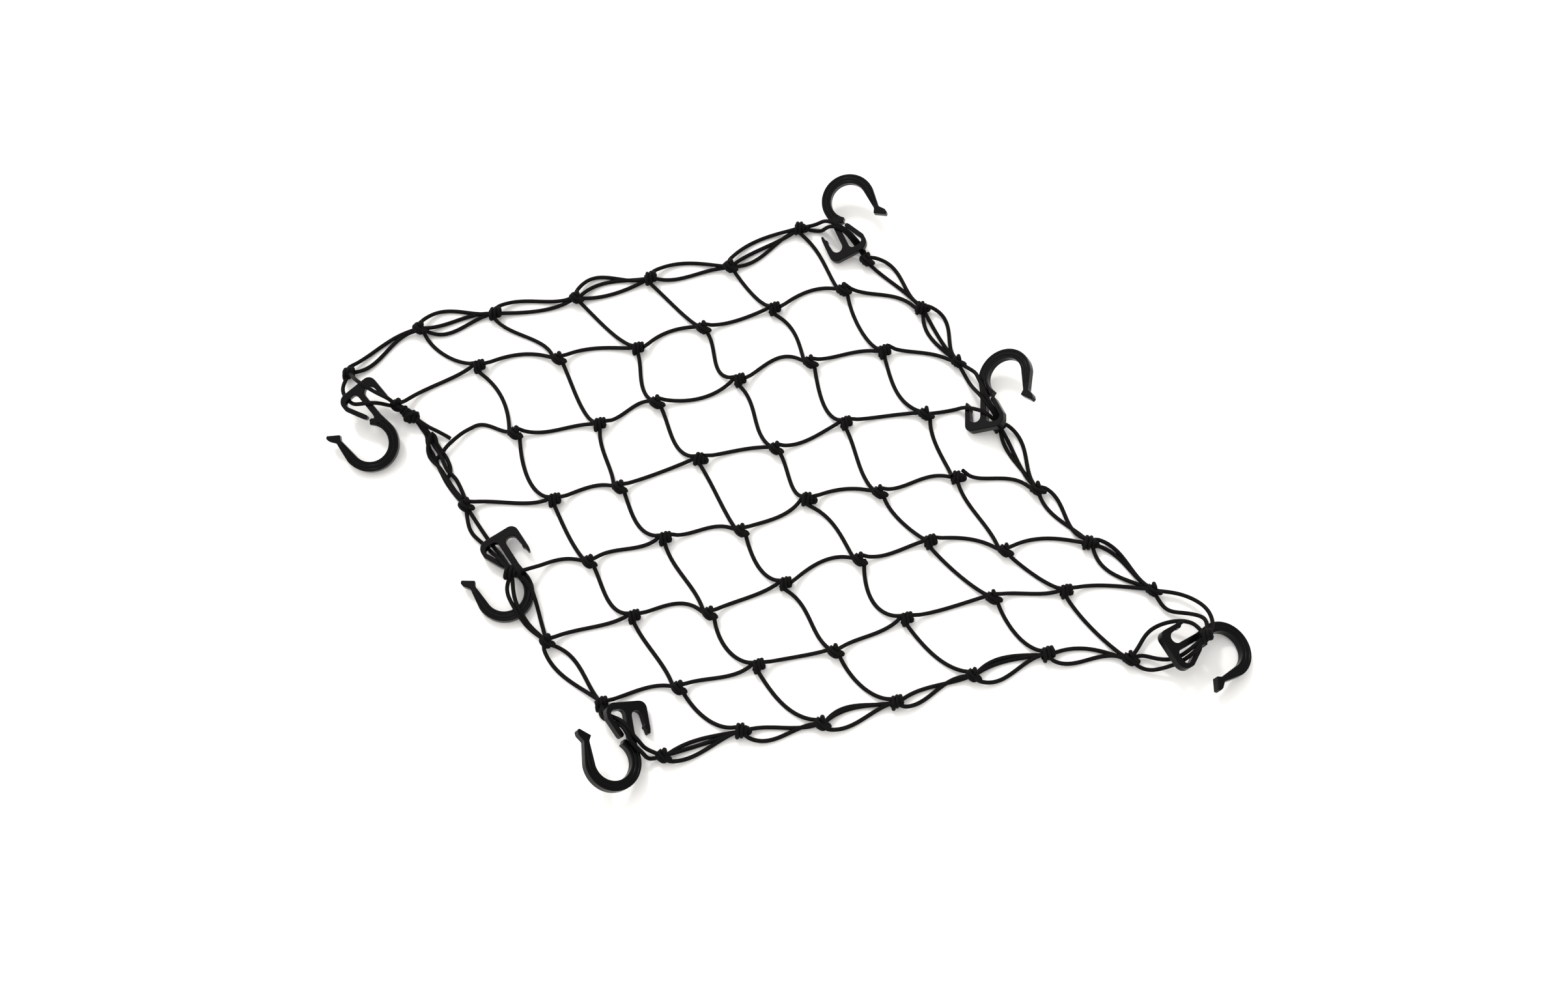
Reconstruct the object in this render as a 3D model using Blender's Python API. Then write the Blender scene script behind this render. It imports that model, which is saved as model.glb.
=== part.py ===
"""Elastic cargo net: 7 by 7 meshes of knotted cord with six clip hooks, lying loose on a flat surface.

The net lies pulled askew into a rhombus. Its runs of knots lie along +X, the first of them farthest out
along +Y, and the legs between the runs lean. Sizes are millimetres up to the point where a mesh is made,
and metres there.
"""

from math import cos, radians, sin

import bmesh
import bpy
from mathutils import Matrix, Vector

METRE = 0.001  # one millimetre

# ---------------------------------------------------------------- the net's driving sizes
PITCH = 50.8  # one mesh, from knot to knot
LEAN = 70.5  # degrees between the runs and the legs
KNOTS = 8  # knots along a run, and runs from far to near
CORD_SIDE = 2.4  # square tube with the section of the round 2.7 mm cord
LOWEST = CORD_SIDE / 2 + 0.15  # height of a cord's middle where it lies between two knots
SPANS = 4  # straight pieces of tube from knot to knot
KNOT_LONG = 12.0  # along the knot's own axis
KNOT_WIDE = 10.0
KNOT_HIGH = 9.0
KNOT_CHAMFER = 2.6
STUB = 12.0  # from a knot's centre to where the cord of the next piece starts
GAP = 0.35  # between pieces that touch in the real net
MIDDLE = (-1.04, 1.99)  # of the lattice, so that the whole net is centred on the origin

# How far each knot strays from its true place: (along the run, across it), far run first.
STRAYS = (
    ((-15, -23), (-14, -1), (-12, -2), (-7, -4), (-4, -1), (0, -6), (5, 12), (-8, -24)),
    ((-4, -8), (4, 9), (6, 1), (10, -4), (5, 0), (6, 3), (4, 5), (3, -21)),
    ((1, 2), (1, 2), (7, -5), (-4, 1), (4, 4), (2, 5), (3, 1), (-2, -19)),
    ((-6, 7), (1, -3), (-7, -5), (-1, 2), (-2, -3), (-2, 4), (0, -3), (-5, -23)),
    ((-1, -1), (-3, -3), (-2, 1), (-4, -6), (-6, 5), (-11, -2), (-8, -4), (-11, -25)),
    ((-6, -1), (1, 2), (-3, -8), (-1, 0), (-2, 4), (-4, 5), (-10, -13), (-5, -21)),
    ((3, -1), (1, -3), (3, -1), (1, -4), (1, 6), (7, 6), (4, -1), (7, -14)),
    ((16, 5), (17, 9), (15, 1), (14, 3), (14, 8), (14, 10), (12, -6), (8, -7)),
)
LIFTS = {(1, 0): 2.5, (3, 7): 1.0, (4, 0): 10.0, (7, 7): 17.5}  # knots that a hook holds up

# Neighbouring knots are tied from opposite faces, like the squares of a chessboard. Where each cord meets the
# knot and how it runs there: (bearing of the port, reach of the port, heading of the cord, height over the
# knot's centre).
PORTS = {
    "front": {
        "run_in": (165, 5.0, 12, 0.0),
        "run_out": (8, 6.0, 9, 0.6),
        "leg_in": (149, 5.0, -30, 1.2),
        "leg_out": (-105, 4.5, -66, -0.5),
    },
    "back": {
        "run_in": (150, 4.5, -30, 0.3),
        "run_out": (20, 4.5, -12, 0.9),
        "leg_in": (133, 4.7, -78, -0.3),
        "leg_out": (-57, 4.7, -90, -0.8),
    },
}
KNOT_AXIS = {"front": -12, "back": -50}

# Headings that differ where a knot is pulled round by the border.
HEADINGS = {
    ((1, 0), "run_out"): 20,
    ((2, 0), "run_out"): 40,
    ((5, 0), "run_out"): 0,
    ((1, 7), "run_in"): -36,
    ((5, 7), "run_in"): -16,
}

# How far each mesh cord swings to the left of its way, (early, late) in mm: a row for each inner run's cords,
# then a row for each step from run to run with its legs.
RUN_SWINGS = (
    ((2, 0), (2, 2), (6, 6), (3, 1), (1, 1), (3, 2), (-1, 3)),
    ((0, 0), (0, 3), (0, 0), (-2, -3), (4, 5), (3, 5), (-2, 1)),
    ((2, 2), (1, 1), (3, 2), (-1, -1), (0, 0), (-2, -2), (0, 0)),
    ((0, 0), (4, 1), (-1, 1), (1, -2), (1, 1), (3, 6), (-3, 2)),
    ((2, 1), (2, 4), (3, 1), (3, 2), (0, 1), (0, 2), (5, 4)),
    ((0, 0), (2, 0), (-2, -3), (3, 0), (-3, -4), (2, 2), (-1, -1)),
)
LEG_SWINGS = (
    ((1, 0), (1, 1), (5, 4), (0, -2), (3, 3), (2, 1)),
    ((4, 4), (3, 4), (-3, -3), (1, -1), (4, 3), (1, 3)),
    ((-1, 0), (-3, 0), (1, 0), (0, -2), (0, 1), (-5, -6)),
    ((-2, -2), (0, -1), (-1, -1), (2, 2), (-2, -2), (1, 5)),
    ((1, 0), (-2, 0), (0, 0), (4, 2), (2, 3), (-2, 0)),
    ((-1, 0), (-1, -1), (2, -1), (-3, -3), (-1, -3), (4, 3)),
    ((1, -1), (-4, -7), (1, 0), (-3, -6), (1, 1), (-2, -3)),
)

# The border is closed by a second knot beside the knot (1, 0), and one cut end stands out of it.
FINISHING = (8.0, -10.0, -1.0)  # from the knot (1, 0) to that second knot, whence the tail's places count
TAIL_ACROSS = 2.7
TAIL = ((4.65, -4.55, 1.0), (9.7, -9.8, 0.2), (15.0, -13.9, -1.4), (20.2, -18.2, -3.0), (22.2, -20.1, -3.6))

# Border cords from knot to knot, step by step, from the outermost cord in: how far each stands off the
# straight line at a third and at two thirds of the way, outward positive, in mm.
FANS = {
    "border_far": (
        ((4.6, 5.9), (-2.2, 2.2)),
        ((10.4, 6.1), (0.7, 2.9), (-6.7, -2.2)),
        ((6.5, 3.1), (-2.0, -2.9)),
        ((12.3, 5.9), (6.7, 4.9), (-2.8, -2.3)),
        ((9.1, 7.3), (-2.3, 0.1)),
        ((8.7, 7.3), (2.1, 0.8), (-3.8, -0.4)),
        (),
    ),
    "border_right": (
        ((9.5, 4.3), (0.6, 1.5)),
        ((9.6, 4.2), (-0.3, -0.6), (-5.6, -3.8)),
        (),
        ((8.1, 3.7), (0.3, -0.9), (-3.0, -1.1)),
        ((5.1, -0.4), (-3.4, -1.5)),
        ((7.4, 3.6), (4.6, 2.4), (-6.8, -4.3)),
        (),
    ),
    "border_near": (
        ((5.3, 2.4), (-0.1, -0.1), (-3.5, -2.7)),
        ((7.0, 2.7), (-1.0, 0.6)),
        ((5.7, 2.4), (-4.5, -3.3), (-6.1, -3.7)),
        ((3.7, -0.8), (-2.7, -1.4)),
        ((7.0, 2.5), (-3.3, -2.7), (-5.9, -4.5)),
        ((4.1, -0.7), (-5.4, -4.8)),
        (),
    ),
    "border_left": (
        (),
        ((2.1, -1.2), (-2.1, 1.2)),
        ((2.1, -1.2), (-2.1, 1.2)),
        (),
        (),
        ((6.7, 4.2), (-5.5, -2.8)),
        (),
    ),
}
FAN_HEIGHTS = (1.4, 0.2, -1.0)  # over the centres of the knots: outermost cord, middle cord, inner cord

# ---------------------------------------------------------------- the hook's driving sizes
# Its plan has +Y from the clip's bar to the bend, and +X towards the side that opens.
THICK = 5.8
BEND = (15.5, 36.4)  # centre of the bend
BEND_OUT = 18.9  # outer radius of the bend
BEND_IN = 12.4
TIP = 15.0  # how far down the limb's bill comes, level with the clip
STEM = 2.1  # half the width of the stem
BAR = 5.0  # depth of the clip's bar
OPEN_ARM = -13.4  # outer side of the open arm
SHUT_ARM = 14.6  # outer side of the arm that closes on the tooth

# Where each hook lies: middle of the bar (x, y), bearing of the stem, and the degrees by which its open side
# and its bend are raised. The knots and cords beneath a clip hold it askew.
HOOKS = {
    "hook_1": (-247.6, 127.1, -63.0, -9.0, -12.6),
    "hook_2": (-176.1, 4.9, -70.0, 0.0, -5.0),
    "hook_3": (-119.6, -124.8, -92.5, 29.0, -2.0),
    "hook_4": (154.4, -2.3, 73.6, 32.2, 0.0),
    "hook_5": (218.0, -179.2, 17.5, -3.9, -17.8),
    "hook_6": (101.4, 148.9, 100.3, 17.5, 6.9),
}

# Cords that pass a hook, as places in that hook's own plan with the height over its underside. All but two
# are border cords: those go over the stem and down through the clip, or over the bend.
OVER = THICK + 2.2
UNDER = -2.2
THREADED = (
    # hook, from knot, to knot, places
    ("hook_1", (0, 0), (1, 0), (
        (8.4, -8.3, -9.5), (10, -1, -5), (9.2, 4, -2.8), (8.8, 7, -0.4), (7.8, 8.8, 2.5),
        (5.2, 11.2, 6.4), (2.4, 13.4, OVER), (-4, 17.4, OVER), (-8.2, 21.6, 2.6), (-10.4, 24.2, -3),
    )),
    ("hook_1", (0, 0), (1, 0), (
        (-4.2, -0.5, OVER), (-7, 8, OVER), (-9.6, 15, OVER), (-12.8, 21.8, 11.2),
    )),
    ("hook_2", (3, 0), (4, 0), (
        (13, -13, -3), (10.8, -4, -3.2), (8.8, 3.8, -3.4), (8.8, 8.2, 0.4), (8.0, 11.4, 5.4),
        (7.2, 14.8, 8.4),
    )),
    ("hook_2", (3, 0), (4, 0), (
        (6, -4, UNDER), (5.4, 3.4, -2.8), (5.3, 8.3, 0.6), (4.9, 12, 5.2), (4.6, 16.4, OVER),
    )),
    ("hook_2", (4, 0), (5, 0), (
        (14, 36, OVER), (15.6, 47, OVER), (15.8, 56, OVER), (15, 64, 3),
    )),
    ("hook_2", (4, 0), (5, 0), (
        (8.4, 37.6, OVER), (12, 46, OVER), (12.2, 55, OVER), (12.8, 62.6, 4),
    )),
    ("hook_2", (4, 0), (5, 0), (
        (-0.4, 40, OVER), (1.2, 50, OVER), (3.6, 58, 5), (5.4, 63, 1),
    )),
    ("hook_2", (4, 0), (4, 1), (
        (-0.4, 31.4, 8.6), (-5, 31.9, 8.4), (-10.8, 32.8, 4), (-16, 33.2, 1.2), (-22.2, 34.2, -0.2),
        (-31.7, 38.7, 0.3),
    )),
    ("hook_3", (6, 0), (7, 0), (
        (13.5, 3.2, -2.8), (10.4, 6.4, -2), (8, 8.6, 1.2), (5.6, 11.6, 5.6), (3.9, 15.4, OVER),
        (1, 22, OVER), (-3.8, 27.4, 7.6), (-8.5, 30, 2),
    )),
    ("hook_3", (6, 0), (7, 0), (
        (15.5, 6.6, -3), (11.4, 9.4, -2.8), (8.2, 10.8, 0.2), (6.2, 13.8, 4.4), (5.4, 18, 8.7),
        (3.9, 25, 8.6), (-0.6, 31, OVER), (-4.9, 34.2, OVER), (-9, 37.4, 2),
    )),
    ("hook_4", (2, 7), (3, 7), (
        (-12.7, 38.6, 2), (-7.2, 31, 6), (-2.8, 26, OVER), (0.8, 21.6, OVER), (3.8, 17, 7.4),
        (5.8, 13, 3.4), (7.2, 9.2, 0.2),
    )),
    ("hook_4", (2, 7), (3, 7), (
        (-6, 43, 3.6), (-3.8, 39, OVER), (-0.6, 33, OVER), (2, 26.5, OVER), (4.4, 20, OVER),
        (5.5, 16, 5.4), (7.4, 12, 1.6), (9.6, 8.6, -1.4),
    )),
    ("hook_4", (3, 6), (3, 7), (
        (-20, 18.2, 4), (-14.6, 17.8, OVER), (-10, 16.6, OVER), (-1, 12.8, OVER), (2.8, 10.8, OVER),
        (4.6, 8.8, 4.2), (5.4, 8.0, -0.2),
    )),
    ("hook_5", (6, 7), (7, 7), (
        (-29.7, 37, -4), (-19, 42, 1), (-10.4, 41.6, 5.6), (-4.8, 38.6, OVER), (0.2, 34.6, 10),
    )),
    ("hook_5", (6, 7), (7, 7), (
        (-24.4, 25.3, -9.3), (-15.4, 32.6, -4), (-8, 36, 3), (-4, 33, OVER), (-0.4, 29.4, 9.2),
    )),
    ("hook_5", (7, 6), (7, 7), (
        (-12.4, -4.8, -17), (-19, 7.4, -13), (-18, 18.4, -7), (-13.4, 24.6, 0.6), (-7, 26.4, OVER),
        (-1, 25, 9.5),
    )),
    ("hook_5", (7, 6), (7, 7), (
        (-8.9, -3.6, -17.4), (-3.3, 0.8, -15.6), (2.6, 4.6, -9), (5.2, 7.2, -2), (5.2, 10.6, 3.8),
        (4.6, 14, 8.6),
    )),
    ("hook_5", (7, 6), (7, 7), (
        (-0.9, -9, -18.6), (3.6, -3.9, -16.6), (6.8, 3.4, -9), (8.6, 7.2, -1.6), (8.2, 10.4, 4.2),
        (7.8, 13.4, 8.9),
    )),
    ("hook_6", (0, 6), (0, 7), (
        (-13, 32.5, -2), (-8, 31, 3), (-3.8, 27.6, OVER), (1.6, 22, OVER), (5.4, 16.4, 7.4),
        (7.6, 11.8, 3.6), (8.9, 8.4, 0.6), (9.6, 4.4, -2.7), (9.8, -1, -3.2),
    )),
    ("hook_6", (0, 6), (0, 7), (
        (-14, 27, -4), (-9, 25, 3), (-3.8, 23.8, OVER), (1.2, 20.2, OVER), (4.2, 15.8, 6.4),
        (5.4, 11.4, 3), (6.2, 8.2, 0.4), (6.9, 4.2, -2.7), (7.8, -1, -3.2),
    )),
)


# ---------------------------------------------------------------- places
def way(degrees):
    """Level direction at a bearing from +X."""
    return Vector((cos(radians(degrees)), sin(radians(degrees)), 0.0))


def knot_face(run, column):
    return "front" if (run + column) % 2 == 0 else "back"


def knot_at(run, column):
    """Centre of a knot."""
    along, across = STRAYS[run][column]
    off = (KNOTS - 1) / 2
    x = (column - off + (run - off) * cos(radians(LEAN))) * PITCH + along + MIDDLE[0]
    y = -(run - off) * sin(radians(LEAN)) * PITCH + across + MIDDLE[1]
    return Vector((x, y, KNOT_HIGH / 2 + LIFTS.get((run, column), 0.0)))


def hook_frame(name):
    """From a hook's own plan to the net: turned, tilted, and let down until it touches the surface."""
    x, y, bearing, side_up, bend_up = HOOKS[name]
    turned = Matrix.Rotation(radians(bearing - 90), 4, "Z")
    tilted = Matrix.Rotation(radians(bend_up), 4, "X") @ Matrix.Rotation(radians(-side_up), 4, "Y")
    frame = turned @ tilted
    lowest = min((frame @ Vector((*corner, side))).z for corner in hook_outline() for side in (0.0, THICK))
    return Matrix.Translation((x + MIDDLE[0], y + MIDDLE[1], -lowest)) @ frame


# ---------------------------------------------------------------- cords as lists of points
def bow(start, start_way, end, end_way, swing=(0, 0)):
    """A cord between two knots, which comes down to the surface. The swing is how far it stands aside, in mm,
    at a third and at two thirds of its way.
    """
    reach = (end - start).length
    aside = Vector((start.y - end.y, end.x - start.x, 0.0)).normalized()
    early, late = swing[0] * 3 - swing[1] * 1.5, swing[1] * 3 - swing[0] * 1.5
    points = []
    for i in range(SPANS + 1):
        t = i / SPANS
        point = start * (2 * t**3 - 3 * t**2 + 1) + end * (3 * t**2 - 2 * t**3)
        point += start_way * reach * (t**3 - 2 * t**2 + t) + end_way * reach * (t**3 - t**2)
        point += aside * 3 * t * (1 - t) * (early * (1 - t) + late * t)
        point.z += (LOWEST - point.z) * sin(radians(180 * t)) ** 0.6
        points.append(point)
    return points


def through(places):
    """A smooth curve through hand-placed points, with a point about every three diameters."""
    ends = [places[0] * 2 - places[1], *places, places[-1] * 2 - places[-2]]
    points = []
    for a, b, c, d in zip(ends, ends[1:], ends[2:], ends[3:]):
        spans = max(1, round((c - b).length / (CORD_SIDE * 3)))
        for i in range(spans):
            t = i / spans
            speed = (c - a) * t
            bend = (a * 2 - b * 5 + c * 4 - d) * t**2
            twist = (b * 3 - a - c * 3 + d) * t**3
            points.append((b * 2 + speed + bend + twist) / 2)
    return [*points, places[-1]]


def port(knot, name):
    """Where a cord meets a knot, and its direction there."""
    bearing, reach, heading, height = PORTS[knot_face(*knot)][name]
    heading = HEADINGS.get((knot, name), heading)
    return knot_at(*knot) + way(bearing) * reach + Vector((0, 0, height)), way(heading)


def inner_cord(here, there, leaves, arrives, swing):
    """A mesh cord from one knot's port to the next knot's, with its ends inside both knots."""
    start, out = port(here, leaves)
    end, into = port(there, arrives)
    return [start - out * 3, *bow(start, out, end, into, swing), end + into * 3]


def border_cord(here, there, early, late, height, outward):
    """A border cord that bulges off the straight line between two edge knots."""
    straight = knot_at(*there) - knot_at(*here)
    straight.z = 0.0
    straight.normalize()
    start = knot_at(*here) + straight * 2 + Vector((0, 0, height))
    end = knot_at(*there) - straight * 2 + Vector((0, 0, height + 0.35))
    if (here, there) == ((1, 0), (2, 0)):
        start += Vector(FINISHING)
    return bow(start, straight, end, straight, (early * outward, late * outward))


def threaded_cord(hook, here, there, places, higher):
    """A cord that passes a hook. Cords that share a knot each lie a little higher than the one before."""
    frame = hook_frame(hook)
    start, end = knot_at(*here), knot_at(*there)
    middle = [frame @ Vector(place) for place in places]
    first = start + (middle[0] - start).normalized() * 2
    last = end + (middle[-1] - end).normalized() * 2
    points = through([first, *middle, last])
    for point in points:
        point.z = max(point.z, LOWEST) + higher
    return points


# ---------------------------------------------------------------- which piece a knot and a cord belong to
def piece_of(run, column):
    if run == 0:
        return "border_far"
    if column == KNOTS - 1:
        return "border_right"
    if run == KNOTS - 1:
        return "border_near"
    if column == 0:
        return "border_left"
    return f"net_run_{run}"


def every_cord():
    """Each cord of the net as (first knot, last knot, points)."""
    last = KNOTS - 1
    threaded = {(here, there) for _, here, there, _ in THREADED}
    for run in range(1, last):
        for column in range(last):
            here, there = (run, column), (run, column + 1)
            if (here, there) not in threaded:
                swing = RUN_SWINGS[run - 1][column]
                yield here, there, inner_cord(here, there, "run_out", "run_in", swing)
    for column in range(1, last):
        for run in range(last):
            here, there = (run, column), (run + 1, column)
            swing = LEG_SWINGS[run][column - 1]
            yield here, there, inner_cord(here, there, "leg_out", "leg_in", swing)
    for step in range(last):
        sides = (
            ("border_far", (0, step), (0, step + 1), 1),
            ("border_right", (step, last), (step + 1, last), 1),
            ("border_near", (last, step), (last, step + 1), -1),
            ("border_left", (step, 0), (step + 1, 0), -1),
        )
        for side, here, there, outward in sides:
            fan = FANS[side][step]
            heights = FAN_HEIGHTS if len(fan) == 3 else FAN_HEIGHTS[::2]
            for (early, late), height in zip(fan, heights):
                yield here, there, border_cord(here, there, early, late, height, outward)
    yield (1, 0), (1, 0), [knot_at(1, 0), knot_at(1, 0) + Vector(FINISHING)]
    for row, (hook, here, there, places) in enumerate(THREADED):
        yield here, there, threaded_cord(hook, here, there, places, 0.23 * (row % 3))


def split(points, centre, reach):
    """The cord's points before and after it leaves a ball round a knot, with a gap between the two."""
    for i, (a, b) in enumerate(zip(points, points[1:])):
        near, far = (a - centre).length, (b - centre).length
        if near <= reach < far:
            share = (reach - near) / (far - near)
            cut = a.lerp(b, min(max(share, 0.35), 0.65))
            step = (b - a).normalized() * GAP / 2
            return [*points[: i + 1], cut - step], [cut + step, *points[i + 1 :]]
    raise ValueError("the cord never leaves the knot")


def shared_out():
    """The cords of each piece. A cord between two pieces starts anew at a short stub on one of them."""
    cords = {}
    for here, there, points in every_cord():
        first, second = piece_of(*here), piece_of(*there)
        if first == second:
            cords.setdefault(first, []).append(points)
        elif second.startswith("border") or not first.startswith("border"):
            stub, rest = split(points[::-1], knot_at(*there), STUB)
            cords.setdefault(second, []).append(stub)
            cords.setdefault(first, []).append(rest)
        else:
            stub, rest = split(points, knot_at(*here), STUB)
            cords.setdefault(first, []).append(stub)
            cords.setdefault(second, []).append(rest)
    return cords


# ---------------------------------------------------------------- materials
def finish(name, colour, roughness):
    material = bpy.data.materials.new(name)
    material.use_nodes = True
    shader = material.node_tree.nodes["Principled BSDF"]
    shader.inputs["Base Color"].default_value = (*colour, 1.0)
    shader.inputs["Roughness"].default_value = roughness
    shader.inputs["Metallic"].default_value = 0.0
    return material


# ---------------------------------------------------------------- solids
def add(name, mesh, material=None):
    thing = bpy.data.objects.new(name, mesh)
    bpy.context.scene.collection.objects.link(thing)
    if material:
        mesh.materials.append(material)
    return thing


def tube_mesh(name, cords, radius, rounding):
    """Tubes along the cords, all in one mesh. With no rounding they are square, with a flat side down."""
    curve = bpy.data.curves.new(name, "CURVE")
    curve.dimensions = "3D"
    curve.bevel_depth = radius * METRE
    curve.bevel_resolution = rounding
    curve.use_fill_caps = True
    curve.twist_mode = "Z_UP"
    for points in cords:
        spline = curve.splines.new("POLY")
        spline.points.add(len(points) - 1)
        for place, point in zip(spline.points, points):
            place.co = (*(point * METRE), 1.0)
            place.tilt = radians(45)
    holder = bpy.data.objects.new(name, curve)
    bpy.context.scene.collection.objects.link(holder)
    bpy.context.view_layer.update()
    mesh = bpy.data.meshes.new_from_object(holder.evaluated_get(bpy.context.evaluated_depsgraph_get()))
    bpy.data.objects.remove(holder)
    return mesh


def knot_mesh(name, knots):
    """Chamfered blocks at (centre, bearing of the knot's own axis)."""
    shape = bmesh.new()
    for centre, bearing in knots:
        block = bmesh.new()
        bmesh.ops.create_cube(block, size=1.0)
        bmesh.ops.scale(block, vec=(KNOT_LONG, KNOT_WIDE, KNOT_HIGH), verts=block.verts)
        bmesh.ops.bevel(block, geom=block.edges, offset=KNOT_CHAMFER, segments=1, affect="EDGES", profile=0.5)
        turned = Matrix.Rotation(radians(bearing), 4, "Z")
        place = Matrix.Scale(METRE, 4) @ Matrix.Translation(centre) @ turned
        bmesh.ops.transform(block, matrix=place, verts=block.verts)
        loose = bpy.data.meshes.new("block")
        block.to_mesh(loose)
        block.free()
        shape.from_mesh(loose)
        bpy.data.meshes.remove(loose)
    mesh = bpy.data.meshes.new(name)
    shape.to_mesh(mesh)
    shape.free()
    return mesh


def net_piece(name, cords, knots, material):
    """One piece of the net: its cords and its knots made a single solid."""
    piece = add(name, tube_mesh(name, cords, CORD_SIDE * cos(radians(45)), 0), material)
    guide = add(name + "_knots", knot_mesh(name + "_knots", knots))
    guide.hide_render = True
    guide.display_type = "WIRE"
    join = piece.modifiers.new("Knots", "BOOLEAN")
    join.operation = "UNION"
    join.solver = "EXACT"
    join.use_self = True
    join.object = guide
    return piece


def arc(centre, radius, start, end, steps):
    """Points along an arc in the hook's plan, from one bearing to another."""
    turn = (end - start) / steps
    angles = [radians(start + turn * i) for i in range(steps + 1)]
    return [(centre[0] + radius * cos(angle), centre[1] + radius * sin(angle)) for angle in angles]


def hook_outline():
    """The hook's plan, once round: stem, bend, tip, tooth, shut arm, bar and open arm."""
    outer, inner = BEND[0] + BEND_OUT, BEND[0] + BEND_IN
    points = [(-STEM, 10.0), (-STEM, 25.0)]
    points += arc(BEND, BEND_OUT, 190, 0, 18)
    points += [(outer - 1.8, TIP + 7.4), (outer + 1.2, TIP + 3.4)]
    points += [(outer + 1.6, TIP + 0.8), (outer + 0.2, TIP - 0.6)]
    points += [(inner - 0.6, TIP + 4.4), (inner + 1.2, TIP + 7.6)]
    points += arc(BEND, BEND_IN, 0, 232, 16)
    points += [(6.6, 25.2), (6.2, 23.8), (4.2, 23.8), (3.4, 24.9), (2.4, 24.4)]
    points += [(STEM, 22.0), (STEM, 9.5)]
    points += arc((STEM + 3, BAR + 3), 3.0, 190, 270, 3)
    points += arc((SHUT_ARM - 6.2, BAR + 3.4), 3.4, 285, 360, 3)
    points += [(5.7, 19.6), (5.3, 21.0), (6.3, 22.3), (7.8, 22.2), (9.0, 20.6)]
    points += [(SHUT_ARM, 9.5)]
    points += arc((SHUT_ARM - 6, 6.0), 6.0, 0, -90, 5)
    points += arc((OPEN_ARM + 5, 5.0), 5.0, 270, 180, 4)
    points += [(OPEN_ARM, 18.5), (OPEN_ARM + 0.6, 21.6), (OPEN_ARM + 2.0, 21.4)]
    points += [(OPEN_ARM + 2.6, 18.4), (OPEN_ARM + 4.0, 16.8), (OPEN_ARM + 3.4, 15.0)]
    points += arc(((OPEN_ARM - STEM) / 2 + 2.05, 10.0), -(OPEN_ARM + STEM) / 2 - 2.05, 180, 360, 8)
    return points


def hook_mesh():
    shape = bmesh.new()
    corners = [shape.verts.new((x * METRE, y * METRE, 0.0)) for x, y in hook_outline()]
    plate = shape.faces.new(corners)
    raised = bmesh.ops.extrude_face_region(shape, geom=[plate])
    lifted = [item for item in raised["geom"] if isinstance(item, bmesh.types.BMVert)]
    bmesh.ops.translate(shape, vec=(0.0, 0.0, THICK * METRE), verts=lifted)
    bmesh.ops.recalc_face_normals(shape, faces=shape.faces)
    mesh = bpy.data.meshes.new("hook")
    shape.to_mesh(mesh)
    shape.free()
    return mesh


# ---------------------------------------------------------------- the whole net
for leftover in list(bpy.data.objects):
    bpy.data.objects.remove(leftover)

elastic = finish("elastic", (0.012, 0.012, 0.013), 0.62)
plastic = finish("plastic", (0.010, 0.010, 0.011), 0.33)

for piece_name, piece_cords in shared_out().items():
    own = [(r, c) for r in range(KNOTS) for c in range(KNOTS) if piece_of(r, c) == piece_name]
    tied = [(knot_at(*knot), KNOT_AXIS[knot_face(*knot)]) for knot in own]
    if piece_name == "border_left":
        tied.append((knot_at(1, 0) + Vector(FINISHING), KNOT_AXIS["back"]))
    net_piece(piece_name, piece_cords, tied, elastic)

tail_from = knot_at(1, 0) + Vector(FINISHING)
tail_points = through([tail_from + Vector(place) for place in TAIL])
tail_mesh = tube_mesh("cord_tail", [tail_points], TAIL_ACROSS / 2, 2)
for side in tail_mesh.polygons:
    side.use_smooth = True
add("cord_tail", tail_mesh, elastic)

hook_plan = hook_mesh()
hook_plan.materials.append(plastic)
for hook_name in HOOKS:
    hook = add(hook_name, hook_plan)
    frame = hook_frame(hook_name)
    frame.translation *= METRE
    hook.matrix_world = frame
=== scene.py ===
# %% [markdown]
# # A cargo net of elastic cord with six clip hooks
# The real net is one long elastic cord, tied into seven by seven meshes. Its border is doubled and tripled
# cord that threads through six moulded hooks. It lies slack on a table, pulled askew into a leaning diamond.
# Such a net could be a flat picture on a sheet, or a simulation that falls on the table. Here each cord is
# a real round tube on its own curved path, because a net is looked at one cord at a time.
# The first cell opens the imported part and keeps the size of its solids, which the model must match. All
# places are in millimetres, and become metres when a mesh is made.

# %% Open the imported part
import random

import bmesh
import bpy
from math import cos, pi, radians, sin
from mathutils import Matrix, Vector


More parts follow.
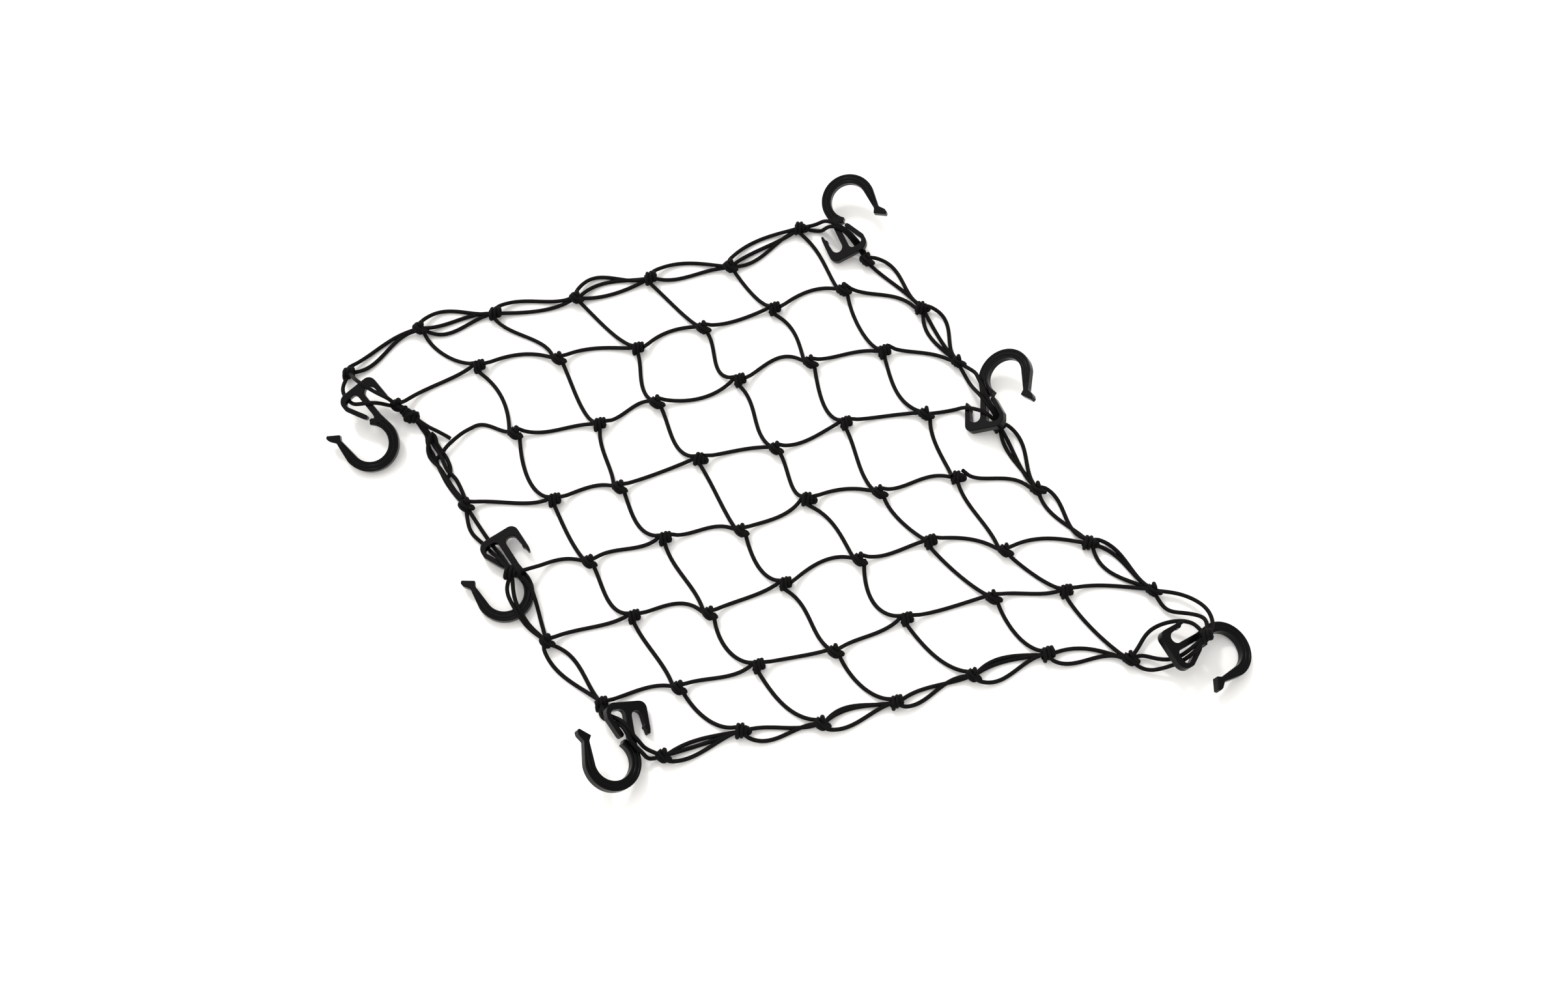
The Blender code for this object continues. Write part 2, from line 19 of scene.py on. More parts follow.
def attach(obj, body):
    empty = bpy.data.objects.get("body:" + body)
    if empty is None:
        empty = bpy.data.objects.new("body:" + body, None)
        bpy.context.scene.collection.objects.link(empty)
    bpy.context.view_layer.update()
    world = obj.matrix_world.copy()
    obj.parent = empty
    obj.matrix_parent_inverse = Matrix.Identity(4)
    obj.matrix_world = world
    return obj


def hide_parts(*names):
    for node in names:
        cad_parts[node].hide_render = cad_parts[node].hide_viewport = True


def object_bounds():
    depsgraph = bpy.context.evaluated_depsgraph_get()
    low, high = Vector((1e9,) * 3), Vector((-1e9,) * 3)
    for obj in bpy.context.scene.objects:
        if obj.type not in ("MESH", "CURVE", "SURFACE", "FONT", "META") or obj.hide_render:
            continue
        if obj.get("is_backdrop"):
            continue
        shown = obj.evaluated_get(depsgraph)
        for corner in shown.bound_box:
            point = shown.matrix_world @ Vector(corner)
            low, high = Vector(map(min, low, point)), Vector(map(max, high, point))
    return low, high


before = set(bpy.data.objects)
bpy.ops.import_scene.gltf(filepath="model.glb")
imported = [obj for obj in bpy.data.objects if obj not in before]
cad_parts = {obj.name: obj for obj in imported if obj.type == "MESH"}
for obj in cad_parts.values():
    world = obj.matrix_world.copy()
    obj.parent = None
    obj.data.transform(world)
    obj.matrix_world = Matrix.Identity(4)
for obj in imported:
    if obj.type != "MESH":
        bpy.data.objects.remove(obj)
solid_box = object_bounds()
MM = 0.001  # one millimetre in metres
print("solids span", [round((b - a) / MM, 1) for a, b in zip(*solid_box)], "mm")

# %% [markdown]
# ## The camera
# The net is seen from above and a little from the front, so that its far end looks slightly smaller.
# A camera can be turned by three angles, or aimed at a target, which is easier to reason about: start at
# the spot on the table that lies in the middle of the frame, and step back along the line of sight.

# %% Aim the camera
SIGHT_UP = radians(69)  # line of sight against the table
SIGHT_ROUND = radians(-14)  # and against the +Y axis, seen from above
SIGHT_LONG = 1.09  # metres from the target to the lens
TARGET = Vector((12.2, -7.7, 0.0)) * MM
LENS = 37.8  # focal length in mm
SENSOR = 36  # width of the sensor in mm

level = Vector((-sin(SIGHT_ROUND), cos(SIGHT_ROUND), 0.0))
sight = level * cos(SIGHT_UP) - Vector((0, 0, sin(SIGHT_UP)))
camera_data = bpy.data.cameras.new("camera")
camera_data.lens = LENS
camera_data.sensor_width = SENSOR
camera = bpy.data.objects.new("camera", camera_data)
camera.location = TARGET - sight * SIGHT_LONG
camera.rotation_euler = sight.to_track_quat("-Z", "Y").to_euler()
bpy.context.scene.collection.objects.link(camera)
bpy.context.scene.camera = camera
print("camera stands at", [round(v, 3) for v in camera.location])

# %% [markdown]
# ## The lattice of knots
# A net pulled askew is a grid of diamonds: the runs lie straight, and the legs between them lean.
# The places could be picked one by one, but a rule with small corrections says more. Each knot stands on
# the leaning grid, and a table gives how far the real one strays from it.

# %% Knots on a leaning grid
PITCH = 50.8  # one mesh, from knot to knot, in mm
LEAN = 70.5  # degrees between the runs and the legs
KNOTS = 8  # knots along a run, and runs from far to near
KNOT_HIGH = 9.0  # from the table to the top of a knot
MIDDLE = (-1.04, 1.99)  # where the middle of the grid lies

# How far each knot strays: (along the run, across it), far run first.
STRAYS = (
    ((-15, -23), (-14, -1), (-12, -2), (-7, -4), (-4, -1), (0, -6), (5, 12), (-8, -24)),
    ((-4, -8), (4, 9), (6, 1), (10, -4), (5, 0), (6, 3), (4, 5), (3, -21)),
    ((1, 2), (1, 2), (7, -5), (-4, 1), (4, 4), (2, 5), (3, 1), (-2, -19)),
    ((-6, 7), (1, -3), (-7, -5), (-1, 2), (-2, -3), (-2, 4), (0, -3), (-5, -23)),
    ((-1, -1), (-3, -3), (-2, 1), (-4, -6), (-6, 5), (-11, -2), (-8, -4), (-11, -25)),
    ((-6, -1), (1, 2), (-3, -8), (-1, 0), (-2, 4), (-4, 5), (-10, -13), (-5, -21)),
    ((3, -1), (1, -3), (3, -1), (1, -4), (1, 6), (7, 6), (4, -1), (7, -14)),
    ((16, 5), (17, 9), (15, 1), (14, 3), (14, 8), (14, 10), (12, -6), (8, -7)),
)
LIFTS = {(1, 0): 2.5, (3, 7): 1.0, (4, 0): 10.0, (7, 7): 17.5}  # knots that a hook holds up


def knot_at(run, column):
    """Centre of a knot, in mm."""
    along, across = STRAYS[run][column]
    off = (KNOTS - 1) / 2
    x = (column - off + (run - off) * cos(radians(LEAN))) * PITCH + along + MIDDLE[0]
    y = -(run - off) * sin(radians(LEAN)) * PITCH + across + MIDDLE[1]
    return Vector((x, y, KNOT_HIGH / 2 + LIFTS.get((run, column), 0.0)))


finishing = knot_at(1, 0) + Vector((8.0, -10.0, -1.0))  # second knot, where the border is closed
print(KNOTS * KNOTS, "knots; the fifth run starts at", [round(v) for v in knot_at(4, 0)])

# %% [markdown]
# ## Paths for cord
# A cord never has a corner. Blender could smooth a Bezier curve, but then the points are not where the
# cord is, and its length is hard to know. So small functions give plenty of points that lie on the cord
# itself.

# %% Smooth paths
CORD = 2.7  # across the round cord
LOWEST = CORD / 2  # height of its middle where it lies on the table


def way(degrees):
    """Level direction at a bearing from +X."""
    return Vector((cos(radians(degrees)), sin(radians(degrees)), 0.0))


def through(places, step=1.6):
    """Points about `step` mm apart on a smooth curve through the places."""
    places = [Vector(place) for place in places]
    ends = [places[0] * 2 - places[1], *places, places[-1] * 2 - places[-2]]
    points = []
    for a, b, c, d in zip(ends, ends[1:], ends[2:], ends[3:]):
        spans = max(1, round((c - b).length / step))
        for i in range(spans):
            t = i / spans
            bend = (c - a) * t + (a * 2 - b * 5 + c * 4 - d) * t**2 + (b * 3 - a - c * 3 + d) * t**3
            points.append(b + bend / 2)
    return [*points, places[-1]]


def long(points):
    """Length of a path."""
    return sum((b - a).length for a, b in zip(points, points[1:]))


def metres(paths):
    """Length of several paths together."""
    return round(sum(map(long, paths)) / 1000, 2)


print("cord", CORD, "mm thick has its middle", LOWEST, "mm over the table")

# %% [markdown]
# ## Bows between knots
# Between two knots a cord leaves along one direction, arrives along another, sags to the table and bulges
# aside. Places set by hand would be many for 130 cords. A cubic curve takes care of the two directions, and
# two small terms add the bulge and the sag.

# %% Bow and ease
SAG = 0.6  # how soon a bow comes down to the table: the smaller, the sooner
BOW_STEP = 1.9  # mm between the points of a bow


def bow(start, start_way, end, end_way, swing=(0, 0)):
    """A cord between two knots that comes down to the table, and swings aside early and late."""
    reach = (end - start).length
    spans = round(reach / BOW_STEP)
    aside = Vector((start.y - end.y, end.x - start.x, 0.0)).normalized()
    # weights that put the cord exactly `swing` aside at a third and at two thirds of its way
    early = swing[0] * 3 - swing[1] * 1.5
    late = swing[1] * 3 - swing[0] * 1.5
    points = []
    for i in range(spans + 1):
        t = i / spans
        point = start * (2 * t**3 - 3 * t**2 + 1) + end * (3 * t**2 - 2 * t**3)
        point += start_way * reach * (t**3 - 2 * t**2 + t) + end_way * reach * (t**3 - t**2)
        point += aside * 3 * t * (1 - t) * (early * (1 - t) + late * t)
        point.z += (LOWEST - point.z) * sin(pi * t) ** SAG
        points.append(point)
    return points


def eased(points, times):
    """The path with each point drawn so many times towards its neighbours. The ends stay."""
    for _ in range(times):
        inner = [(a + c) / 4 + b / 2 for a, b, c in zip(points, points[1:], points[2:])]
        points = [points[0], *inner, points[-1]]
        for point in points:
            point.z = max(point.z, LOWEST)
    return points


trial = bow(knot_at(4, 3), way(9), knot_at(4, 4), way(-30))
print("a bow between two knots is", round(long(trial)), "mm long")

# %% [markdown]
# ## From a path to round cord
# A curve object with a bevel depth sweeps a circle along any number of paths at once. Blender also lays
# a flat map on the tube: along the cord one way, round it the other. The map comes out from 0 to 1 on
# every cord, however long, so the helper stretches it to millimetres. Then a braid has one size everywhere.

# %% Sweep cord along paths
SIDES = 12  # faces round a cord, each with four corners


def link(name, mesh):
    """An object at the origin that shows the mesh."""
    thing = bpy.data.objects.new(name, mesh)
    bpy.context.scene.collection.objects.link(thing)
    return thing


def built(name, shape):
    """An object from a bmesh."""
    mesh = bpy.data.meshes.new(name)
    shape.to_mesh(mesh)
    shape.free()
    return link(name, mesh)


def final_mesh(thing):
    """A mesh of the object as it looks, with its bevel or its modifiers applied."""
    bpy.context.view_layer.update()
    shown = thing.evaluated_get(bpy.context.evaluated_depsgraph_get())
    return bpy.data.meshes.new_from_object(shown)


def sweep(name, paths, across=CORD, capped=False):
    """A mesh of round cord along the paths, with a map in mm along it and in turns round it."""
    curve = bpy.data.curves.new(name, "CURVE")
    curve.dimensions = "3D"
    curve.bevel_depth = across / 2 * MM
    curve.bevel_resolution = (SIDES - 4) // 2
    curve.use_fill_caps = capped
    for points in paths:
        spline = curve.splines.new("POLY")
        spline.points.add(len(points) - 1)
        for place, point in zip(spline.points, points):
            place.co = (*(point * MM), 1.0)
    holder = link(name, curve)
    mesh = final_mesh(holder)
    bpy.data.objects.remove(holder)
    bpy.data.curves.remove(curve)
    corner = 0
    for points in paths:
        stretch = long(points)
        for _ in range((len(points) - 1) * SIDES * 4):
            mesh.uv_layers[0].data[corner].uv.x *= stretch
            corner += 1
    mesh.shade_smooth()
    return mesh


print("cord is swept with", SIDES, "sides")

# %% [markdown]
# ## The loose end
# Where the border was closed, one cut end of the cord stands out of the second knot. It is the only free
# cord, so it is a piece of its own: a slightly curved inch with a clean cut. A bent cylinder would do, but
# the sweep makes it from a few places. The path starts inside the knot, rises over the neighbouring strand
# and comes down to the table.

# %% The cord's cut end
IN_KNOT = ((-3, 2.4, 0.2), (1.4, -1.4, 0.8))  # counted from the finishing knot
OUT_OF_KNOT = (
    (4.65, -4.55, 1), (9.7, -9.8, 0.2), (15, -13.9, -1.4), (20.2, -18.2, -3), (22.2, -20.1, -3.6),
)
tail_path = through([finishing + Vector(place) for place in IN_KNOT + OUT_OF_KNOT], step=1.2)
tail = link("cord_end", sweep("cord_end", [tail_path], capped=True))
print("the loose end is", round(long(tail_path), 1), "mm long")

# %% [markdown]
# ## The outline of a hook
# Each hook is one flat moulding, so its outline is easiest in its own plan: the clip's bar along X, the
# stem up Y to the bend, and +X towards the mouth. It can be drawn by hand as a curve, but most of it is
# arcs, and arcs with named radii can be made finer later without moving anything.

# %% Outline of a hook in its own plan
THICK = 5.8  # mm
BEND = (15.5, 36.4)  # centre of the bend
BEND_OUT = 18.9  # outer radius of the bend
BEND_IN = 12.4  # inner radius
TIP = 15.0  # how far down the limb's bill comes
STEM = 2.1  # half the width of the stem
BAR = 4.5  # inner side of the clip's bar
OPEN_ARM = -13.4  # outer side of the arm left open
SHUT_ARM = 14.6  # outer side of the arm that closes on the tooth
SIDE_CURVE = 1.85  # how far the open arm's inner curve lies to the right of half way


def arc(centre, radius, start, end, steps):
    """Points along an arc, from one bearing to another."""
    turn = (end - start) / steps
    angles = [radians(start + turn * i) for i in range(steps + 1)]
    return [(centre[0] + radius * cos(angle), centre[1] + radius * sin(angle)) for angle in angles]


def hook_outline(fine=1):
    """Once round: stem, bend, bill, tooth, shut arm, bar and open arm."""
    outer = BEND[0] + BEND_OUT
    inner = BEND[0] + BEND_IN
    # up the stem and over the bend
    points = [(-STEM, 10.0), (-STEM, 25.0)]
    points += arc(BEND, BEND_OUT, 190, 0, 18 * fine)
    # the bill, which flares outward
    points += [(outer - 1.8, TIP + 7.4), (outer + 1.2, TIP + 3.4)]
    points += [(outer + 1.6, TIP + 0.8), (outer + 0.2, TIP - 0.6)]
    points += [(inner - 0.6, TIP + 4.4), (inner + 1.2, TIP + 7.6)]
    # back through the mouth, down to the tooth and the stem's foot
    points += arc(BEND, BEND_IN, 0, 232, 16 * fine)
    points += [(6.6, 25.2), (6.2, 23.8), (4.2, 23.8), (3.4, 24.9), (2.4, 24.4)]
    points += [(STEM, 22.0), (STEM, 9.5)]
    # inside and outside of the arm that shuts
    points += arc((STEM + 3, BAR + 3), 3.0, 190, 270, 3 * fine)
    points += arc((SHUT_ARM - 6.2, BAR + 3.4), 3.4, 285, 360, 3 * fine)
    points += [(5.7, 19.6), (5.3, 21.0), (6.3, 22.3), (7.8, 22.2), (9.0, 20.6)]
    points += [(SHUT_ARM, 9.5)]
    points += arc((SHUT_ARM - 6, 6.0), 6.0, 0, -90, 5 * fine)
    # outside and inside of the arm left open
    points += arc((OPEN_ARM + 5, 5.0), 5.0, 270, 180, 4 * fine)
    points += [(OPEN_ARM, 18.5), (OPEN_ARM + 0.6, 21.6), (OPEN_ARM + 2.0, 21.4)]
    points += [(OPEN_ARM + 2.4, 18.4), (OPEN_ARM + 3.7, 16.8), (OPEN_ARM + 3.0, 15.0)]
    half_way = (OPEN_ARM - STEM) / 2 + SIDE_CURVE
    radius = -(OPEN_ARM + STEM) / 2 - SIDE_CURVE
    points += arc((half_way, 9.8), radius, 180, 360, 8 * fine)
    return points


print("the outline has", len(hook_outline(2)), "corners")

# %% [markdown]
# ## The hooks' places
# The six hooks lie at all angles, and some lean on a cord or a knot. A simulation could drop them, but they
# would seldom lie as they should. So a table gives where the clip's bar lies, where the stem points and how
# far the hook tilts each way, and the hook is then let down until it touches the table.

# %% Turn, tilt and let down
# Middle of the bar (x, y), bearing of the stem, and the degrees that the open side and the bend are raised.
HOOKS = {
    "hook_1": (-247.6, 127.1, -63, -9, -12.6),
    "hook_2": (-176.1, 4.9, -70, 0, -5),
    "hook_3": (-119.6, -124.8, -92.5, 29, -2),
    "hook_4": (154.4, -2.3, 73.6, 32.2, 0),
    "hook_5": (218, -179.2, 17.5, -3.9, -17.8),
    "hook_6": (101.4, 148.9, 100.3, 17.5, 6.9),
}


def hook_frame(name):
    """From a hook's own plan to the net: turned, tilted, and let down until it touches the table."""
    x, y, bearing, side_up, bend_up = HOOKS[name]
    turned = Matrix.Rotation(radians(bearing - 90), 4, "Z")
    tilted = Matrix.Rotation(radians(bend_up), 4, "X") @ Matrix.Rotation(radians(-side_up), 4, "Y")
    place = turned @ tilted
    corners = [Vector((*corner, side)) for corner in hook_outline() for side in (0.0, THICK)]
    lowest = min((place @ corner).z for corner in corners)
    return Matrix.Translation((x + MIDDLE[0], y + MIDDLE[1], -lowest)) @ place


print("hook_1 has its bar at", [round(v) for v in hook_frame("hook_1").translation])

# %% [markdown]
# ## Cords of the meshes
# A knot is tied from one face and its neighbour from the other, like the squares of a chessboard. So
# cords meet knots in two ways, which gives the whole net its rhythm. Cords drawn straight from middle to
# middle would lose it. A table with a row for each way to meet a knot keeps it in one place.

# %% Where cords meet a knot
# (bearing of the port, its reach from the knot's middle, heading of the cord, height over the middle)
PORTS = {
    "front": {
        "run_in": (165, 5, 12, 0),
        "run_out": (8, 6, 9, 0.6),
        "leg_in": (149, 5, -30, 1.2),
        "leg_out": (-105, 4.5, -66, -0.5),
    },
    "back": {
        "run_in": (150, 4.5, -30, 0.3),
        "run_out": (20, 4.5, -12, 0.9),
        "leg_in": (133, 4.7, -78, -0.3),
        "leg_out": (-57, 4.7, -90, -0.8),
    },
}
# Headings that differ where a knot is pulled round by the border.
HEADINGS = {
    ((1, 0), "run_out"): 20,
    ((5, 0), "run_out"): 0,
    ((1, 7), "run_in"): -36,
    ((5, 7), "run_in"): -16,
}


def knot_face(run, column):
    """Which face of a knot is on top."""
    return "front" if (run + column) % 2 == 0 else "back"


print("knot (0, 0) shows its", knot_face(0, 0), "and knot (0, 1) its", knot_face(0, 1))

# %% [markdown]
# ## From port to port
# A cord comes out of its knot at one spot and in one direction, and its end is never seen. Cords could be
# joined into one branching mesh, but forks are hard to build. Here each cord runs on a little way inside
# both knots, whose turns hide its ends.

# %% From port to port
INSIDE = 4.0  # how far a cord's end goes on into the knot


def port(knot, name):
    """Where a cord meets a knot, and its direction there."""
    bearing, reach, heading, height = PORTS[knot_face(*knot)][name]
    heading = HEADINGS.get((knot, name), heading)
    return knot_at(*knot) + way(bearing) * reach + Vector((0, 0, height)), way(heading)


def into_knots(points):
    """The cord with its two ends carried straight on into the knots."""
    first = (points[0] - points[1]).normalized() * INSIDE
    last = (points[-1] - points[-2]).normalized() * INSIDE
    return [points[0] + first, points[0] + first / 2, *points, points[-1] + last / 2, points[-1] + last]


def inner_cord(here, there, leaves, arrives, swing):
    """A mesh cord from one knot's port to the next knot's, with its ends inside both knots."""
    start, out = port(here, leaves)
    end, into = port(there, arrives)
    return into_knots(bow(start, out, end, into, swing))


print("a run leaves knot (3, 3) at", [round(v) for v in port((3, 3), "run_out")[0]])

# %% [markdown]
# ## How the mesh cords swing
# A random wave would make every mesh alike in its unrest, while real ones differ: a pulled cord is straight
# and a slack one wanders. So each cord has two numbers of its own, which say how far aside it lies at a
# third and at two thirds of its way.

# %% Cords between the inner knots
LAST = KNOTS - 1
LOOSE_KNOT = (2, 0)  # slack turns of the border, not a pulled knot
# How far each cord swings to the left of its way: (early, late), in mm, one row for each run.
RUN_SWINGS = (
    ((2, 0), (2, 2), (6, 6), (3, 1), (1, 1), (3, 2), (-1, 3)),
    ((0, 0), (0, 3), (0, 0), (-2, -3), (4, 5), (3, 5), (-2, 1)),
    ((2, 2), (1, 1), (3, 2), (-1, -1), (0, 0), (-2, -2), (0, 0)),
    ((0, 0), (4, 1), (-1, 1), (1, -2), (1, 1), (3, 6), (-3, 2)),
    ((2, 1), (2, 4), (3, 1), (3, 2), (0, 1), (0, 2), (5, 4)),
    ((0, 0), (2, 0), (-2, -3), (3, 0), (-3, -4), (2, 2), (-1, -1)),
)
LEG_SWINGS = (
    ((1, 0), (1, 1), (5, 4), (0, -2), (3, 3), (2, 1)),
    ((4, 4), (3, 4), (-3, -3), (1, -1), (4, 3), (1, 3)),
    ((-1, 0), (-3, 0), (1, 0), (0, -2), (0, 1), (-5, -6)),
    ((-2, -2), (0, -1), (-1, -1), (2, 2), (-2, -2), (1, 5)),
    ((1, 0), (-2, 0), (0, 0), (4, 2), (2, 3), (-2, 0)),
    ((-1, 0), (-1, -1), (2, -1), (-3, -3), (-1, -3), (4, 3)),
    ((1, -1), (-4, -7), (1, 0), (-3, -6), (1, 1), (-2, -3)),
)
ON_HOOKS = {(4, 0), (3, 6)}  # runs that pass a hook on the way to their next knot
mesh_paths = []
for run in range(1, LAST):
    for column in range(LAST):
        if (run, column) not in ON_HOOKS | {LOOSE_KNOT}:
            swing = RUN_SWINGS[run - 1][column]
            mesh_paths.append(inner_cord((run, column), (run, column + 1), "run_out", "run_in", swing))
for column in range(1, LAST):
    for run in range(LAST):
        swing = LEG_SWINGS[run][column - 1]
        mesh_paths.append(inner_cord((run, column), (run + 1, column), "leg_out", "leg_in", swing))
print(len(mesh_paths), "cords between knots,", metres(mesh_paths), "m")

# %% [markdown]
# ## Cords of the border
# The border has two or three cords from knot to knot, and they are longer than the straight line, so they
# bulge like the staves of a barrel. Two angles for each would do, but they are hard to read off a net. Two
# distances from the straight line say the same at a glance.

# %% Fans of border cord
# (at a third, at two thirds), outward positive: a line for each step, from the outermost cord in.
FANS = {
    "far": (
        ((4.6, 5.9), (-2.2, 2.2)),
        ((10.4, 6.1), (0.7, 2.9), (-6.7, -2.2)),
        ((6.5, 3.1), (-2, -2.9)),
        ((12.3, 5.9), (6.7, 4.9), (-2.8, -2.3)),
        ((9.1, 7.3), (-2.3, 0.1)),
        ((8.7, 7.3), (2.1, 0.8), (-3.8, -0.4)),
    ),
    "right": (
        ((9.5, 4.3), (0.6, 1.5)),
        ((9.6, 4.2), (-0.3, -0.6), (-5.6, -3.8)),
        (),
        ((8.1, 3.7), (0.3, -0.9), (-3, -1.1)),
        ((5.1, -0.4), (-3.4, -1.5)),
        ((7.4, 3.6), (4.6, 2.4), (-6.8, -4.3)),
    ),
    "near": (
        ((5.3, 2.4), (-0.1, -0.1), (-3.5, -2.7)),
        ((7, 2.7), (-1, 0.6)),
        ((5.7, 2.4), (-4.5, -3.3), (-6.1, -3.7)),
        ((3.7, -0.8), (-2.7, -1.4)),
        ((7, 2.5), (-3.3, -2.7), (-5.9, -4.5)),
        ((4.1, -0.7), (-5.4, -4.8)),
    ),
    "left": ((), (), (), (), (), ((6.7, 4.2), (-5.5, -2.8))),
}
SIDES_OUT = {
    # the knot at a step along the side, and +1 where outward is to the left of the way
    "far": (lambda step: (0, step), 1),
    "right": (lambda step: (step, LAST), 1),
    "near": (lambda step: (LAST, step), -1),
    "left": (lambda step: (step, 0), -1),
}
print("fans on", len(FANS), "sides")

# %% [markdown]
# ## Bulging cords
# Cords that left a knot at one height would merge into a ribbon. Each could be lifted by hand, but its rank
# in the fan already says how high it lies. The outermost cord comes round the knot, so it starts from a
# shoulder a little to the outside.

# %% Bulging cords
FAN_HEIGHTS = (1.4, 0.2, -1.0)  # over the centres of the knots: outermost cord, middle cord, inner cord
FAN_RISE = 0.35  # how much higher a cord arrives than it leaves, so that two in one knot don't merge
GRIP = 2.0  # how far from a knot's middle its cords come together
SHOULDER = 4.0  # how far outward the outermost cord leaves its knot
SHOULDER_EASE = 3  # times that its path is eased


def border_cord(here, there, early, late, rank, outward):
    """A border cord that bulges between two edge knots. The outermost has rank 0."""
    straight = knot_at(*there) - knot_at(*here)
    straight.z = 0.0
    straight.normalize()
    height = Vector((0, 0, FAN_HEIGHTS[rank]))
    start = knot_at(*here) + straight * GRIP + height
    end = knot_at(*there) - straight * GRIP + height + Vector((0, 0, FAN_RISE))
    if rank > 0:
        return bow(start, straight, end, straight, (early * outward, late * outward))
    out = Vector((-straight.y, straight.x, 0.0)) * outward
    shoulder = start + out * SHOULDER - straight
    swing = (early - SHOULDER * 2 / 3) * outward, (late - SHOULDER / 3) * outward
    # two places in the knot, from which the cord comes round to its shoulder
    inside = [start - straight * 3 - out, start - straight * 2.6 + out * SHOULDER / 2]
    return eased([*inside, *bow(shoulder, straight, end, straight, swing)], SHOULDER_EASE)


border_paths = []
for side, fans in FANS.items():
    knot_on, outward = SIDES_OUT[side]
    for step, fan in enumerate(fans):
        ranks = (0, 1, 2) if len(fan) == 3 else (0, 2)
        here, there = knot_on(step), knot_on(step + 1)
        for (early, late), rank in zip(fan, ranks):
            border_paths.append(border_cord(here, there, early, late, rank, outward))
print(len(border_paths), "cords in the fans,", metres(border_paths), "m")

# %% [markdown]
# ## Cords that thread the hooks
# At a hook the border cords pass over the stem and dive through the clip, or lie over the bend. Places in
# the net would go wrong when a hook is shifted. Places in the hook's own plan, with the height over its
# underside, stay right when the hook is moved or tilted.

